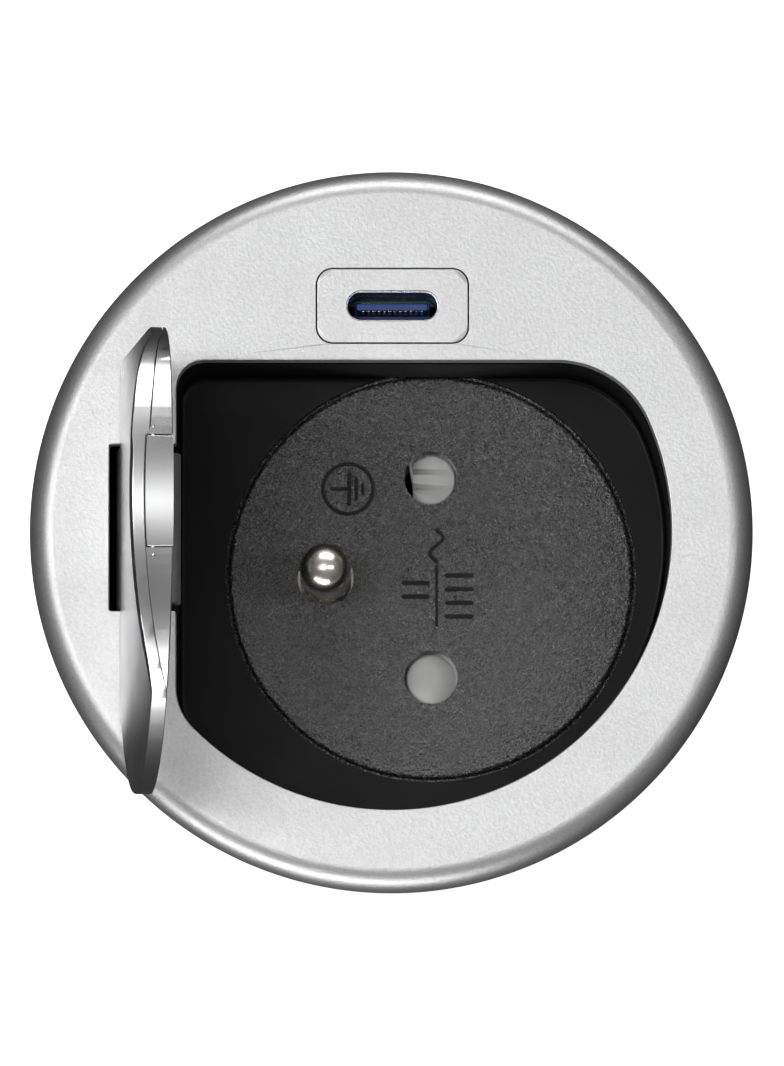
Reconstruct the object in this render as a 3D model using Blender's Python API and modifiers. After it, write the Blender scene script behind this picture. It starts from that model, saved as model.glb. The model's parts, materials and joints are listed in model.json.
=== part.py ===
"""Round powered desk grommet: bezel with hinged lid, plug well, USB port and clamp nut.

The desk top is the plane z = 0.  +Z points up out of the desk, +X from the lid's hinge
towards its free edge and +Y towards the USB port.  Lengths are written in millimetres
and turned into metres by MM.  The lid is modelled shut and then hung open on its hinge.
"""
import math

import bmesh
import bpy
from mathutils import Matrix, Vector

MM = 0.001
GAP = 0.3  # room kept between neighbouring pieces

# --- driving dimensions ----------------------------------------------------------------
BEZEL_R = 34.0
BEZEL_TOP = 3.0
RIM_ROUND = 2.3  # radius of the bezel's outer edge

OPEN_R = 26.3  # the well's opening: an arc cut off by a left and a top edge
OPEN_LEFT = -20.2
OPEN_TOP = 16.05
CORNER_TL = 2.7
CORNER_TR = 9.4
CORNER_BL = 5.6

WELL_WALL = 1.2
LEDGE_Z = -14.4  # the well's floor, round the socket
FLOOR_T = 1.5

HINGE_X = -23.0  # the lid's hinge runs along Y
HINGE_Z = 0.26
HINGE_Y = 0.25  # middle of the hinge
NOTCH_X = -26.5
NOTCH_HALF = 7.85
LID_OPEN = 85.0  # degrees at rest

LID_T = 1.5
LID_SIDE_GAP = 0.22
RAMP_X = 18.9  # where the lid starts to rise into its finger lip
RAMP_SLOPE = 0.375
FLAP_HALF = 5.05
FLAP_X = 25.1  # pivot of the cable flap
FLAP_Z = 3.3
FLAP_ROUND = 0.36
FLAP_TOP_GAP = 0.14

SOCKET_X = 3.8  # centre between the two pin holes
SOCKET_Y = -3.1
SOCKET_R = 19.2
SOCKET_TOP = -15.0
SOCKET_T = 2.2
PIN_PITCH = 19.0
PIN_HOLE_R = 2.8
EARTH_OFFSET = 10.0  # earth pin from the line through the two holes
EARTH_R = 2.4
EARTH_TOP = -1.0
SKIRT_BOTTOM = -22.5

PLATE_TOP = -18.7  # the rotary shutter's flat arms
PLATE_BOTTOM = -19.9
PAD_TOP = -17.5
PAD_R = 2.37
ARM_HALF_ANGLE = 19.0

BASE_TOP = -21.3  # insulating block that holds the contacts
BASE_BOTTOM = -37.0

USB_X = 0.1
USB_Y = 21.15
USB_PANEL = (14.4, 7.16)
USB_PANEL_R = 1.6
USB_OUTER = (8.94, 3.16)
USB_INNER = (8.34, 2.56)
USB_TONGUE = (6.7, 0.7)

SHOULDER_R = 29.5
SLEEVE_R = 28.8
SLEEVE_BORE = 27.9
SLEEVE_BOTTOM = -48.0
BOSS_R = 2.2
BOSS_AT = 26.0
BOSS_ANGLES = (30, 150, 270)
COVER_T = 2.0
INLET_R = 3.6

DESK_T = 25.0  # the desk top that the nut is set for
RING_T = 3.0
RING_OUT_R = 32.1
NUT_T = 11.0
NUT_BORE = 29.5
NUT_OUT_R = 31.1
NUT_GRIPS = 12
GRIP_DEPTH = 0.5

SCREW_SPOTS = ((-14.0, 20.6), (14.6, 20.2), (-22.9, -13.0))

SILVER = ((0.60, 0.60, 0.61), 0.38, 0.85)
MIRROR = ((0.80, 0.80, 0.80), 0.15, 1.0)
BLACK = ((0.012, 0.012, 0.013), 0.45, 0.0)
WHITE = ((0.62, 0.62, 0.62), 0.45, 0.0)
BRASS = ((0.80, 0.60, 0.30), 0.25, 1.0)
STEEL = ((0.62, 0.62, 0.62), 0.30, 1.0)
RUBBER = ((0.02, 0.02, 0.02), 0.85, 0.0)
BLUE = ((0.01, 0.07, 0.35), 0.40, 0.0)
BOARD = ((0.02, 0.16, 0.06), 0.50, 0.0)
FERRITE = ((0.75, 0.62, 0.12), 0.50, 0.0)


# --- scene and helpers -----------------------------------------------------------------
for old in list(bpy.data.objects):
    bpy.data.objects.remove(old, do_unlink=True)

parts = bpy.data.collections.new("desk_grommet")
cutters = bpy.data.collections.new("cutters")
for group in (parts, cutters):
    bpy.context.scene.collection.children.link(group)


def material(name, look):
    """A Principled material from a (colour, roughness, metallic) triple."""
    colour, roughness, metallic = look
    made = bpy.data.materials.new(name)
    made.use_nodes = True
    shader = made.node_tree.nodes["Principled BSDF"]
    shader.inputs["Base Color"].default_value = (*colour, 1.0)
    shader.inputs["Roughness"].default_value = roughness
    shader.inputs["Metallic"].default_value = metallic
    return made


def place(name, mesh, look=None):
    """Put a mesh in the scene: a part when it has a look, otherwise a hidden helper."""
    made = bpy.data.objects.new(name, mesh)
    if look is None:
        cutters.objects.link(made)
        made.hide_render = True
        made.display_type = "WIRE"
    else:
        parts.objects.link(made)
        made.data.materials.append(material(name, look))
    return made


def prism(name, outline, low, high, look=None):
    """A flat outline given a thickness from z = low to z = high."""
    curve = bpy.data.curves.new(name, "CURVE")
    curve.dimensions = "2D"
    curve.fill_mode = "BOTH"
    curve.extrude = (high - low) / 2 * MM
    spline = curve.splines.new("POLY")
    spline.points.add(len(outline) - 1)
    for point, (x, y) in zip(spline.points, outline):
        point.co = (x * MM, y * MM, 0, 1)
    spline.use_cyclic_u = True
    guide = bpy.data.objects.new(name, curve)
    cutters.objects.link(guide)
    graph = bpy.context.evaluated_depsgraph_get()
    mesh = bpy.data.meshes.new_from_object(guide.evaluated_get(graph))
    bpy.data.objects.remove(guide, do_unlink=True)
    mesh.transform(Matrix.Translation((0, 0, (high + low) / 2 * MM)))
    clean(mesh)
    return place(name, mesh, look)


def clean(mesh):
    """Weld the loose caps and turn every face outwards."""
    shape = bmesh.new()
    shape.from_mesh(mesh)
    bmesh.ops.remove_doubles(shape, verts=shape.verts, dist=1e-7)
    bmesh.ops.recalc_face_normals(shape, faces=shape.faces)
    shape.to_mesh(mesh)
    shape.free()


def box(name, low, high, look=None):
    """A block between two opposite corners."""
    mesh = bpy.data.meshes.new(name)
    shape = bmesh.new()
    bmesh.ops.create_cube(shape, size=1.0)
    size = [abs(b - a) * MM for a, b in zip(low, high)]
    middle = [(a + b) / 2 * MM for a, b in zip(low, high)]
    bmesh.ops.scale(shape, verts=shape.verts, vec=size)
    bmesh.ops.translate(shape, verts=shape.verts, vec=middle)
    shape.to_mesh(mesh)
    shape.free()
    return place(name, mesh, look)


def rod(name, radius, start, end, look=None, sides=32):
    """A round rod between two points."""
    begin = Vector(start) * MM
    span = Vector(end) * MM - begin
    mesh = bpy.data.meshes.new(name)
    shape = bmesh.new()
    bmesh.ops.create_cone(
        shape, cap_ends=True, segments=sides, radius1=radius * MM, radius2=radius * MM, depth=span.length
    )
    turn = span.to_track_quat("Z", "Y").to_matrix().to_4x4()
    bmesh.ops.transform(shape, verts=shape.verts, matrix=Matrix.Translation(begin + span / 2) @ turn)
    shape.to_mesh(mesh)
    shape.free()
    mesh.shade_smooth()
    mesh.set_sharp_from_angle(angle=math.radians(40))
    return place(name, mesh, look)


def turned(name, profile, look=None, centre=(0, 0), ring=False, steps=64):
    """A (radius, z) profile, listed down its outer side, turned about Z."""
    points = [(r * MM, 0, z * MM) for r, z in profile]
    edges = [(i, i + 1) for i in range(len(points) - 1)]
    if ring:
        edges.append((len(points) - 1, 0))
    mesh = bpy.data.meshes.new(name)
    mesh.from_pydata(points, edges, [])
    made = place(name, mesh, look)
    made.location = (centre[0] * MM, centre[1] * MM, 0)
    turn = made.modifiers.new("turn", "SCREW")
    turn.steps = steps
    turn.render_steps = steps
    turn.use_merge_vertices = True
    turn.merge_threshold = 1e-6
    turn.use_smooth_shade = True
    return made


def combine(target, other, operation):
    """Add a Boolean step to a piece."""
    step = target.modifiers.new(other.name, "BOOLEAN")
    step.operation = operation
    step.solver = "EXACT"
    step.object = other


def cut(target, *others):
    for other in others:
        combine(target, other, "DIFFERENCE")


def join(target, *others):
    for other in others:
        combine(target, other, "UNION")


def arc(centre, radius, start, end, step=6.0):
    """Points of an arc, angles in degrees."""
    count = max(2, round(abs(end - start) / step) + 1)
    angles = [math.radians(start + (end - start) * i / (count - 1)) for i in range(count)]
    return [(centre[0] + radius * math.cos(a), centre[1] + radius * math.sin(a)) for a in angles]


def rounded_rectangle(centre, size, radius, grow=0.0, step=15.0):
    """A rectangle with round corners, anticlockwise."""
    half_x = size[0] / 2 - radius
    half_y = size[1] / 2 - radius
    outline = []
    for quarter, (sx, sy) in enumerate(((1, 1), (-1, 1), (-1, -1), (1, -1))):
        corner = (centre[0] + sx * half_x, centre[1] + sy * half_y)
        outline += arc(corner, radius + grow, 90 * quarter, 90 * quarter + 90, step)
    return outline


def well_outline(grow, step=6.0, ear=None):
    """The opening's outline, moved outwards by grow; ear adds a tab at the hinge side."""
    top_right_y = OPEN_TOP - CORNER_TR
    top_right_x = math.sqrt((OPEN_R - CORNER_TR) ** 2 - top_right_y**2)
    top_right_angle = math.degrees(math.atan2(top_right_y, top_right_x))
    low_left_x = OPEN_LEFT + CORNER_BL
    low_left_y = -math.sqrt((OPEN_R - CORNER_BL) ** 2 - low_left_x**2)
    low_left_angle = 360 + math.degrees(math.atan2(low_left_y, low_left_x))
    top_left = (OPEN_LEFT + CORNER_TL, OPEN_TOP - CORNER_TL)

    outline = arc((top_right_x, top_right_y), CORNER_TR + grow, top_right_angle, 90, step)
    outline += arc(top_left, CORNER_TL + grow, 90, 180, 15)
    if ear:
        left = OPEN_LEFT - grow
        reach, half = ear
        outline += [(left, HINGE_Y + half), (reach, HINGE_Y + half)]
        outline += [(reach, HINGE_Y - half), (left, HINGE_Y - half)]
    outline += arc((low_left_x, low_left_y), CORNER_BL + grow, 180, low_left_angle, step)
    outline += arc((0, 0), OPEN_R + grow, low_left_angle, 360 + top_right_angle, step)[1:-1]
    return outline


def clip(outline, axis, limit, side):
    """The part of an outline on one side of a line: side is 1 for above, -1 for below."""
    kept = []
    for (here, after) in zip(outline, outline[1:] + outline[:1]):
        inside = side * (here[axis] - limit) >= 0
        inside_after = side * (after[axis] - limit) >= 0
        if inside:
            kept.append(here)
        if inside != inside_after:
            share = (limit - here[axis]) / (after[axis] - here[axis])
            kept.append(tuple(a + (b - a) * share for a, b in zip(here, after)))
    return kept


def ramp(x):
    """How far the lid has risen at x."""
    return RAMP_SLOPE * max(0.0, x - RAMP_X)


def screw(name, x, y, head_z, tip_z, head_r=1.5, shank_r=0.75, up=1):
    """A pan-head screw along Z, its head at head_z and its tip at tip_z."""
    head = head_z + 0.9 * up
    profile = [(0, head_z), (head_r, head_z), (head_r, head), (shank_r, head), (shank_r, tip_z), (0, tip_z)]
    if up > 0:
        profile.reverse()
    made = turned(name, profile, STEEL, (x, y), steps=12)
    recess = box(name + "_slot", (x - 1.1, y - 0.2, head_z - 0.4), (x + 1.1, y + 0.2, head_z + 0.4))
    cut(made, recess)
    return made


# --- bezel and what sits in it ---------------------------------------------------------
def make_bezel():
    """The round cover plate with its opening, hinge notch and USB window."""
    rim = arc((BEZEL_R - RIM_ROUND, BEZEL_TOP - RIM_ROUND), RIM_ROUND, 90, 0, 22.5)
    profile = [(0, BEZEL_TOP), *rim, (BEZEL_R, 0), (33.2, 0), (33.2, 0.8), (30.4, 0.8), (30.4, 0), (0, 0)]
    bezel = turned("bezel", profile, SILVER, steps=72)
    notch = ((NOTCH_X + OPEN_LEFT) / 2 + 1, HINGE_Y)
    notch_size = (OPEN_LEFT - NOTCH_X + 2, 2 * NOTCH_HALF)
    cut(
        bezel,
        prism("opening", well_outline(0), -1, 5),
        prism("notch", rounded_rectangle(notch, notch_size, 0.6, step=30), -1, 5),
        prism("usb_window", rounded_rectangle((USB_X, USB_Y), USB_PANEL, USB_PANEL_R), -1, 5),
    )
    for side in (-1, 1):
        edges = sorted((HINGE_Y + side * (NOTCH_HALF - 1), HINGE_Y + side * 10.5))
        cut(bezel, box("lug_recess", (-25.2, edges[0], -1), (-20.9, edges[1], 1.9)))
    for x, y in SCREW_SPOTS:
        cut(bezel, rod("screw_hole", 1.05, (x, y, -1), (x, y, 1.8), sides=12))
    return bezel


def make_gasket():
    """The foam ring under the bezel's rim."""
    profile = [(32.9, 0.5), (32.9, 0), (30.7, 0), (30.7, 0.5)]
    return turned("flange_gasket", profile, RUBBER, ring=True, steps=48)


def make_usb():
    """The flush panel, the port's metal shell and tongue, and the charger behind it."""
    centre = (USB_X, USB_Y)
    panel_size = [side - 2 * GAP for side in USB_PANEL]
    panel = prism("usb_panel", rounded_rectangle(centre, panel_size, USB_PANEL_R - GAP), 0.6, BEZEL_TOP, SILVER)
    mouth_size = [side + 2 * GAP for side in USB_OUTER]
    cut(panel, prism("usb_mouth", rounded_rectangle(centre, mouth_size, mouth_size[1] / 2 - 0.01), 0, 4))

    shell = prism("usb_shell", rounded_rectangle(centre, USB_OUTER, USB_OUTER[1] / 2 - 0.01), -6, 2.6, STEEL)
    cut(shell, prism("usb_bore", rounded_rectangle(centre, USB_INNER, USB_INNER[1] / 2 - 0.01), -7, 4))

    half = USB_TONGUE[0] / 2
    tongue = box(
        "usb_tongue",
        (USB_X - half, USB_Y - USB_TONGUE[1] / 2, -5.8),
        (USB_X + half, USB_Y + USB_TONGUE[1] / 2, 1.7),
        BLUE,
    )
    join(tongue, box("tongue_root", (USB_X - 3.6, USB_Y - 0.95, -6.0), (USB_X + 3.6, USB_Y + 0.95, -4.6)))

    box("charger_board", (USB_X - 6.6, 21.9, -36), (USB_X + 6.6, 23.1, -6.6), BOARD)
    box("charger_transformer", (USB_X - 4.6, 19.5, -22), (USB_X + 4.6, 21.6, -12), FERRITE)
    case = box("charger_case", (-8.6, 17.9, -39), (8.8, 24.3, -2.0), BLACK)
    cut(case, box("case_inside", (-7.5, 19.1, -37.8), (7.7, 23.4, 0)))


# --- well and socket -------------------------------------------------------------------
def make_well():
    """The D-shaped plug well with its flange, hinge pocket and the lugs for the hinge pin."""
    well = prism("well_liner", well_outline(WELL_WALL), LEDGE_Z - FLOOR_T, -GAP, BLACK)
    lug_edges = []
    for side in (-1, 1):
        lug_edges.append(sorted((HINGE_Y + side * 8.2, HINGE_Y + side * 10.1)))
    join(well, turned("flange", [(0, -GAP), (27.6, -GAP), (27.6, -1.6), (0, -1.6)], steps=64))
    join(well, box("pocket_wall", (-25.6, -8.6, -5.4), (-20.6, 9.1, -1.0)))
    for low, high in lug_edges:
        join(well, box("lug", (-24.9, low, -1.2), (-21.3, high, 1.55)))
    cut(
        well,
        prism("well_inside", well_outline(0), LEDGE_Z, 3),
        box("pocket", (-30, HINGE_Y - NOTCH_HALF, -4.2), (-19.8, HINGE_Y + NOTCH_HALF, 3)),
        rod("socket_hole", SOCKET_R + GAP, (SOCKET_X, SOCKET_Y, -18), (SOCKET_X, SOCKET_Y, -14), sides=64),
        box("usb_slot", (-8.9, 17.6, -3), (9.1, 24.6, 1)),
        rod("pin_hole", 0.9, (HINGE_X, -12, HINGE_Z), (HINGE_X, 12, HINGE_Z), sides=24),
    )
    for x, y in SCREW_SPOTS:
        cut(well, rod("flange_hole", 1.05, (x, y, -3), (x, y, 1), sides=12))
    return well


def make_socket_face():
    """The round face with two pin holes, a hole for the earth pin and a skirt below."""
    top = SOCKET_TOP
    profile = [
        (0, top),
        (SOCKET_R - 0.4, top),
        (SOCKET_R, top - 0.4),
        (SOCKET_R, -16.2),
        (20.6, -16.2),
        (20.6, top - SOCKET_T),
        (18.9, top - SOCKET_T),
        (18.9, SKIRT_BOTTOM),
        (17.6, SKIRT_BOTTOM),
        (17.6, top - SOCKET_T),
        (0, top - SOCKET_T),
    ]
    face = turned("socket_face", profile, BLACK, (SOCKET_X, SOCKET_Y), steps=64)
    for side in (-1, 1):
        y = SOCKET_Y + side * PIN_PITCH / 2
        cut(face, rod("pin_hole", PIN_HOLE_R, (SOCKET_X, y, -19), (SOCKET_X, y, -14), sides=24))
    x = SOCKET_X - EARTH_OFFSET
    cut(face, rod("earth_hole", EARTH_R + GAP, (x, SOCKET_Y, -19), (x, SOCKET_Y, -14), sides=24))
    return face


def make_earth_pin():
    """The domed earth pin, standing on a collar inside the base."""
    dome = [(EARTH_R * math.sin(math.radians(a)), EARTH_TOP - EARTH_R * (1 - math.cos(math.radians(a))))
            for a in range(0, 91, 18)]
    profile = [*dome, (EARTH_R, -23.5), (3.6, -23.5), (3.6, -25.0), (EARTH_R, -25.0), (EARTH_R, -33.0), (0, -33.0)]
    return turned("earth_pin", profile, BRASS, (SOCKET_X - EARTH_OFFSET, SOCKET_Y), steps=24)


def arm_outline(angle, inner=2.0, outer=12.9, left=ARM_HALF_ANGLE, right=ARM_HALF_ANGLE):
    """A sector of the rotary shutter, about the socket's centre."""
    centre = (SOCKET_X, SOCKET_Y)
    outline = arc(centre, outer, angle - right, angle + left)
    return outline + arc(centre, inner, angle + left, angle - right)


def make_shutter():
    """The rotary shutter: two arms, one under each pin hole, with ramps facing opposite ways."""
    profile = [(3.0, PLATE_TOP + 0.9), (3.0, PLATE_BOTTOM), (1.65, PLATE_BOTTOM), (1.65, PLATE_TOP + 0.9)]
    shutter = turned("shutter", profile, WHITE, (SOCKET_X, SOCKET_Y), ring=True, steps=24)
    join(shutter, prism("arm_upper", arm_outline(90, left=11.0), PLATE_BOTTOM, PLATE_TOP))
    join(shutter, prism("arm_lower", arm_outline(270), PLATE_BOTTOM, PLATE_TOP))
    cut_left = SOCKET_X - 1.7
    for side in (-1, 1):
        y = SOCKET_Y + side * PIN_PITCH / 2
        pad = prism("pad", arc((SOCKET_X, y), PAD_R, 0, 340, 20), PLATE_TOP - 0.5, PAD_TOP)
        for vertex in pad.data.vertices:
            if vertex.co.z > (PAD_TOP - 0.1) * MM:
                low_share = 0.5 - side * (vertex.co.x / MM - SOCKET_X) / (2 * PAD_R)
                vertex.co.z = (PAD_TOP - low_share * (PAD_TOP - PLATE_TOP - 0.05)) * MM
        if side > 0:
            cut(pad, box("pad_end", (cut_left - 3, y - 4, -21), (cut_left, y + 4, -15)))
        join(shutter, pad)
    return shutter


def make_shutter_spring():
    """The flat spiral spring that turns the shutter back."""
    strip = 0.22
    turns = 2.25
    count = 28
    spiral = []
    for i in range(count):
        angle = 2 * math.pi * turns * i / (count - 1)
        radius = 1.8 + 1.5 * i / (count - 1)
        spiral.append((math.cos(angle), math.sin(angle), radius))
    outer = [(SOCKET_X + (r + strip) * x, SOCKET_Y + (r + strip) * y) for x, y, r in spiral]
    inner = [(SOCKET_X + r * x, SOCKET_Y + r * y) for x, y, r in spiral]
    return prism("shutter_spring", outer + inner[::-1], -20.95, -20.4, STEEL)


def make_contacts():
    """The insulating base, its two sleeve contacts, the earth strap and the terminal screws."""
    centre = (SOCKET_X, SOCKET_Y)
    profile = [(0, BASE_TOP), (17.2, BASE_TOP), (17.2, BASE_BOTTOM), (0, BASE_BOTTOM)]
    base = turned("contact_base", profile, BLACK, centre, steps=32)
    join(base, rod("post", 1.5, (*centre, BASE_TOP - 1), (*centre, -17.6), sides=24))
    earth_x = SOCKET_X - EARTH_OFFSET
    cut(base, rod("earth_bore", EARTH_R + GAP, (earth_x, SOCKET_Y, -34), (earth_x, SOCKET_Y, -20)))
    cut(base, rod("earth_seat", 3.9, (earth_x, SOCKET_Y, -25.3), (earth_x, SOCKET_Y, -20)))
    for side, name in ((1, "contact_upper"), (-1, "contact_lower")):
        y = SOCKET_Y + side * PIN_PITCH / 2
        cut(base, rod("contact_bore", 3.6, (SOCKET_X, y, -34.3), (SOCKET_X, y, -20), sides=24))
        ring = [(3.2, -22.5), (3.2, -34.0), (2.5, -34.0), (2.5, -22.5)]
        contact = turned(name, ring, BRASS, (SOCKET_X, y), ring=True, steps=32)
        cut(contact, box("split", (SOCKET_X - 0.4, y, -31), (SOCKET_X + 0.4, y + side * 4, -20)))
    for index, (x, y) in enumerate(((SOCKET_X, 9.0), (SOCKET_X, -15.2), (-9.5, -3.1))):
        x += 4.6 if index < 2 else 0
        y -= 0 if index == 2 else math.copysign(3.0, y)
        cut(base, rod("terminal_hole", 1.05, (x, y, BASE_BOTTOM - 1), (x, y, -31), sides=12))
        screw(f"terminal_screw_{index + 1}", x, y, BASE_BOTTOM - 1.2, -31.6)
    return base


# --- body, cover and clamp -------------------------------------------------------------
def make_sleeve():
    """The round body that drops through the desk, with three screw bosses inside."""
    profile = [(SHOULDER_R, -GAP), (SHOULDER_R, -4.0), (SLEEVE_R, -4.4), (SLEEVE_R, SLEEVE_BOTTOM)]
    profile += [(SLEEVE_BORE, SLEEVE_BOTTOM), (SLEEVE_BORE, -GAP)]
    sleeve = turned("body_sleeve", profile, BLACK, ring=True, steps=64)
    for angle in BOSS_ANGLES:
        x = BOSS_AT * math.cos(math.radians(angle))
        y = BOSS_AT * math.sin(math.radians(angle))
        join(sleeve, rod("boss", BOSS_R, (x, y, SLEEVE_BOTTOM + 0.1), (x, y, -34), sides=12))
        cut(sleeve, rod("boss_hole", 1.05, (x, y, SLEEVE_BOTTOM - 1), (x, y, -38), sides=12))
    return sleeve


def make_cover():
    """The bottom cover with its screws and the collar that the supply cable enters by."""
    top = SLEEVE_BOTTOM - GAP
    profile = [(0, top), (SLEEVE_R, top), (SLEEVE_R, top - COVER_T + 0.5), (SLEEVE_R - 0.5, top - COVER_T), (0, top - COVER_T)]
    cover = turned("base_cover", profile, BLACK, steps=48)
    cut(cover, rod("inlet_hole", INLET_R + 1.4 + GAP, (0, 0, top - 4), (0, 0, top + 2)))
    for index, angle in enumerate(BOSS_ANGLES):
        x = BOSS_AT * math.cos(math.radians(angle))
        y = BOSS_AT * math.sin(math.radians(angle))
        cut(cover, rod("cover_hole", 1.05, (x, y, top - 4), (x, y, top + 1), sides=12))
        screw(f"cover_screw_{index + 1}", x, y, top - COVER_T - 1.2, -40)
    bush = [
        (INLET_R + 1.4, top + 0.8),
        (INLET_R + 1.4, top - COVER_T - GAP),
        (INLET_R + 3.0, top - COVER_T - GAP),
        (INLET_R + 3.0, top - COVER_T - 2.0),
        (INLET_R + 1.8, top - COVER_T - 5.5),
        (INLET_R, top - COVER_T - 5.5),
        (INLET_R, top + 0.8),
    ]
    turned("cable_inlet", bush, BLACK, ring=True, steps=24)


def make_clamp():
    """The pressure ring and the grooved nut that pull the bezel down onto the desk."""
    ring_top = -DESK_T
    ring = [(RING_OUT_R, ring_top), (RING_OUT_R, ring_top - RING_T), (NUT_BORE, ring_top - RING_T), (NUT_BORE, ring_top)]
    turned("pressure_ring", ring, BLACK, ring=True, steps=48)
    top = ring_top - RING_T - GAP
    body = [(NUT_OUT_R, top), (NUT_OUT_R, top - NUT_T), (NUT_BORE, top - NUT_T), (NUT_BORE, top)]
    nut = turned("clamp_nut", body, BLACK, ring=True, steps=72)
    for index in range(NUT_GRIPS):
        angle = 360 * index / NUT_GRIPS
        inner = arc((0, 0), NUT_OUT_R - GRIP_DEPTH, angle + 5, angle - 5, 5)
        outer = arc((0, 0), NUT_OUT_R + 1.0, angle - 6, angle + 6, 6)
        cut(nut, prism("grip", outer + inner, top - NUT_T - 1, top - 1.6))
    return nut


# --- lid -------------------------------------------------------------------------------
def make_lid_shell():
    """The outer plate of the lid, rising along its free side into a finger lip."""
    outline = well_outline(-LID_SIDE_GAP, 4.0, ear=(-24.8, 7.6))
    shell = prism("lid_shell", outline, BEZEL_TOP - LID_T, BEZEL_TOP, MIRROR)
    shape = bmesh.new()
    shape.from_mesh(shell.data)
    everything = shape.verts[:] + shape.edges[:] + shape.faces[:]
    bmesh.ops.bisect_plane(shape, geom=everything, plane_co=(RAMP_X * MM, 0, 0), plane_no=(1, 0, 0), dist=1e-7)
    for vertex in shape.verts:
        vertex.co.z += ramp(vertex.co.x / MM) * MM
    shape.to_mesh(shell.data)
    shape.free()
    for start, end in ((HINGE_Y + 7.6, 15.9), (HINGE_Y - 7.6, -22.8)):
        cut(shell, make_back_relief(start, end))
    return shell


def opening_left(y):
    """Where the opening's left edge runs at a given y."""
    corner_x = OPEN_LEFT + CORNER_TL
    corner_y = OPEN_TOP - CORNER_TL
    if y > corner_y:
        return corner_x - math.sqrt(CORNER_TL**2 - (y - corner_y) ** 2)
    corner_x = OPEN_LEFT + CORNER_BL
    corner_y = -math.sqrt((OPEN_R - CORNER_BL) ** 2 - corner_x**2)
    if y > corner_y:
        return OPEN_LEFT
    if y > corner_y * OPEN_R / (OPEN_R - CORNER_BL):
        return corner_x - math.sqrt(CORNER_BL**2 - (y - corner_y) ** 2)
    return -math.sqrt(OPEN_R**2 - y**2)


def make_back_relief(start, end):
    """A turned cutter along the hinge: what it leaves of the lid swings clear of the bezel's edge."""
    profile = []
    for i in range(17):
        y = start + (end - start) * i / 16
        reach = math.hypot(opening_left(y) - HINGE_X, BEZEL_TOP - HINGE_Z)
        profile.append((reach + 0.08, y))
    profile = [(0, start), *profile, (0, end)]
    if end > start:
        profile.reverse()
    cutter = turned("back_relief", profile, steps=72)
    cutter.rotation_euler = (-math.radians(90), 0, 0)
    cutter.location = Vector((HINGE_X, 0, HINGE_Z)) * MM
    return cutter


def make_lid_cheek(name, side):
    """One of the two fillings under the lip, either side of the cable flap."""
    outline = clip(well_outline(-LID_SIDE_GAP - 0.05, 4.0), 0, 20.4, 1)
    outline = clip(outline, 1, side * (FLAP_HALF + GAP), side)
    bottom = BEZEL_TOP - LID_T
    cheek = prism(name, outline, bottom, bottom + 1, SILVER)
    for vertex in cheek.data.vertices:
        if vertex.co.z > (bottom + 0.5) * MM:
            vertex.co.z = (bottom + ramp(vertex.co.x / MM) - GAP) * MM
    inner = side * FLAP_HALF
    cut(cheek, rod(name + "_bore", 0.35, (FLAP_X, inner, FLAP_Z), (FLAP_X, side * 6.1, FLAP_Z), sides=12))
    return cheek


def make_cable_flap():
    """The small door under the lip that swings in to let a cable out of the closed lid."""
    bottom = BEZEL_TOP - LID_T
    inner_x = FLAP_X - FLAP_ROUND
    rise = math.degrees(math.atan(RAMP_SLOPE))
    nose = arc((FLAP_X, FLAP_Z), FLAP_ROUND, 90 + rise, 180, 15)
    side_view = [(inner_x, bottom), (27.0, bottom), (27.0, bottom + ramp(27.0) - FLAP_TOP_GAP), *nose]
    flap = prism("cable_flap", side_view, -FLAP_HALF, FLAP_HALF, SILVER)
    flap.data.transform(Matrix.Rotation(math.radians(90), 4, "X"))
    end = rod("flap_end", OPEN_R - LID_SIDE_GAP - 0.05, (0, 0, -1), (0, 0, 6), sides=128)
    combine(flap, end, "INTERSECT")
    cut(flap, rod("flap_bore", 0.35, (FLAP_X, -7, FLAP_Z), (FLAP_X, 7, FLAP_Z), sides=12))
    return flap


def make_hinge_block():
    """The knuckle that turns on the hinge pin, with a foot screwed under the lid."""
    top = BEZEL_TOP - LID_T - GAP
    lift = top - HINGE_Z
    reach = 3.2
    edge = math.degrees(math.asin(lift / reach))
    side_view = arc((HINGE_X, HINGE_Z), reach, 180 - edge, 360 - 12, 12)
    side_view += [(-19.3, HINGE_Z - 0.6), (-14.5, HINGE_Z - 0.6), (-14.5, top)]
    block = prism("hinge_block", side_view, -7.1 - HINGE_Y, 7.1 - HINGE_Y, SILVER)
    block.data.transform(Matrix.Rotation(math.radians(90), 4, "X"))
    cut(block, rod("block_bore", 0.9, (HINGE_X, -12, HINGE_Z), (HINGE_X, 12, HINGE_Z), sides=24))
    return block


def hang(empty, pivot, *pieces):
    """Parent pieces, and the helpers that shape them, to an empty on their joint's axis."""
    for piece in pieces:
        shapers = [step.object for step in piece.modifiers if step.type == "BOOLEAN"]
        for one in [piece, *shapers]:
            one.parent = empty
            one.matrix_parent_inverse = Matrix.Translation(-Vector(pivot) * MM)


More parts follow.
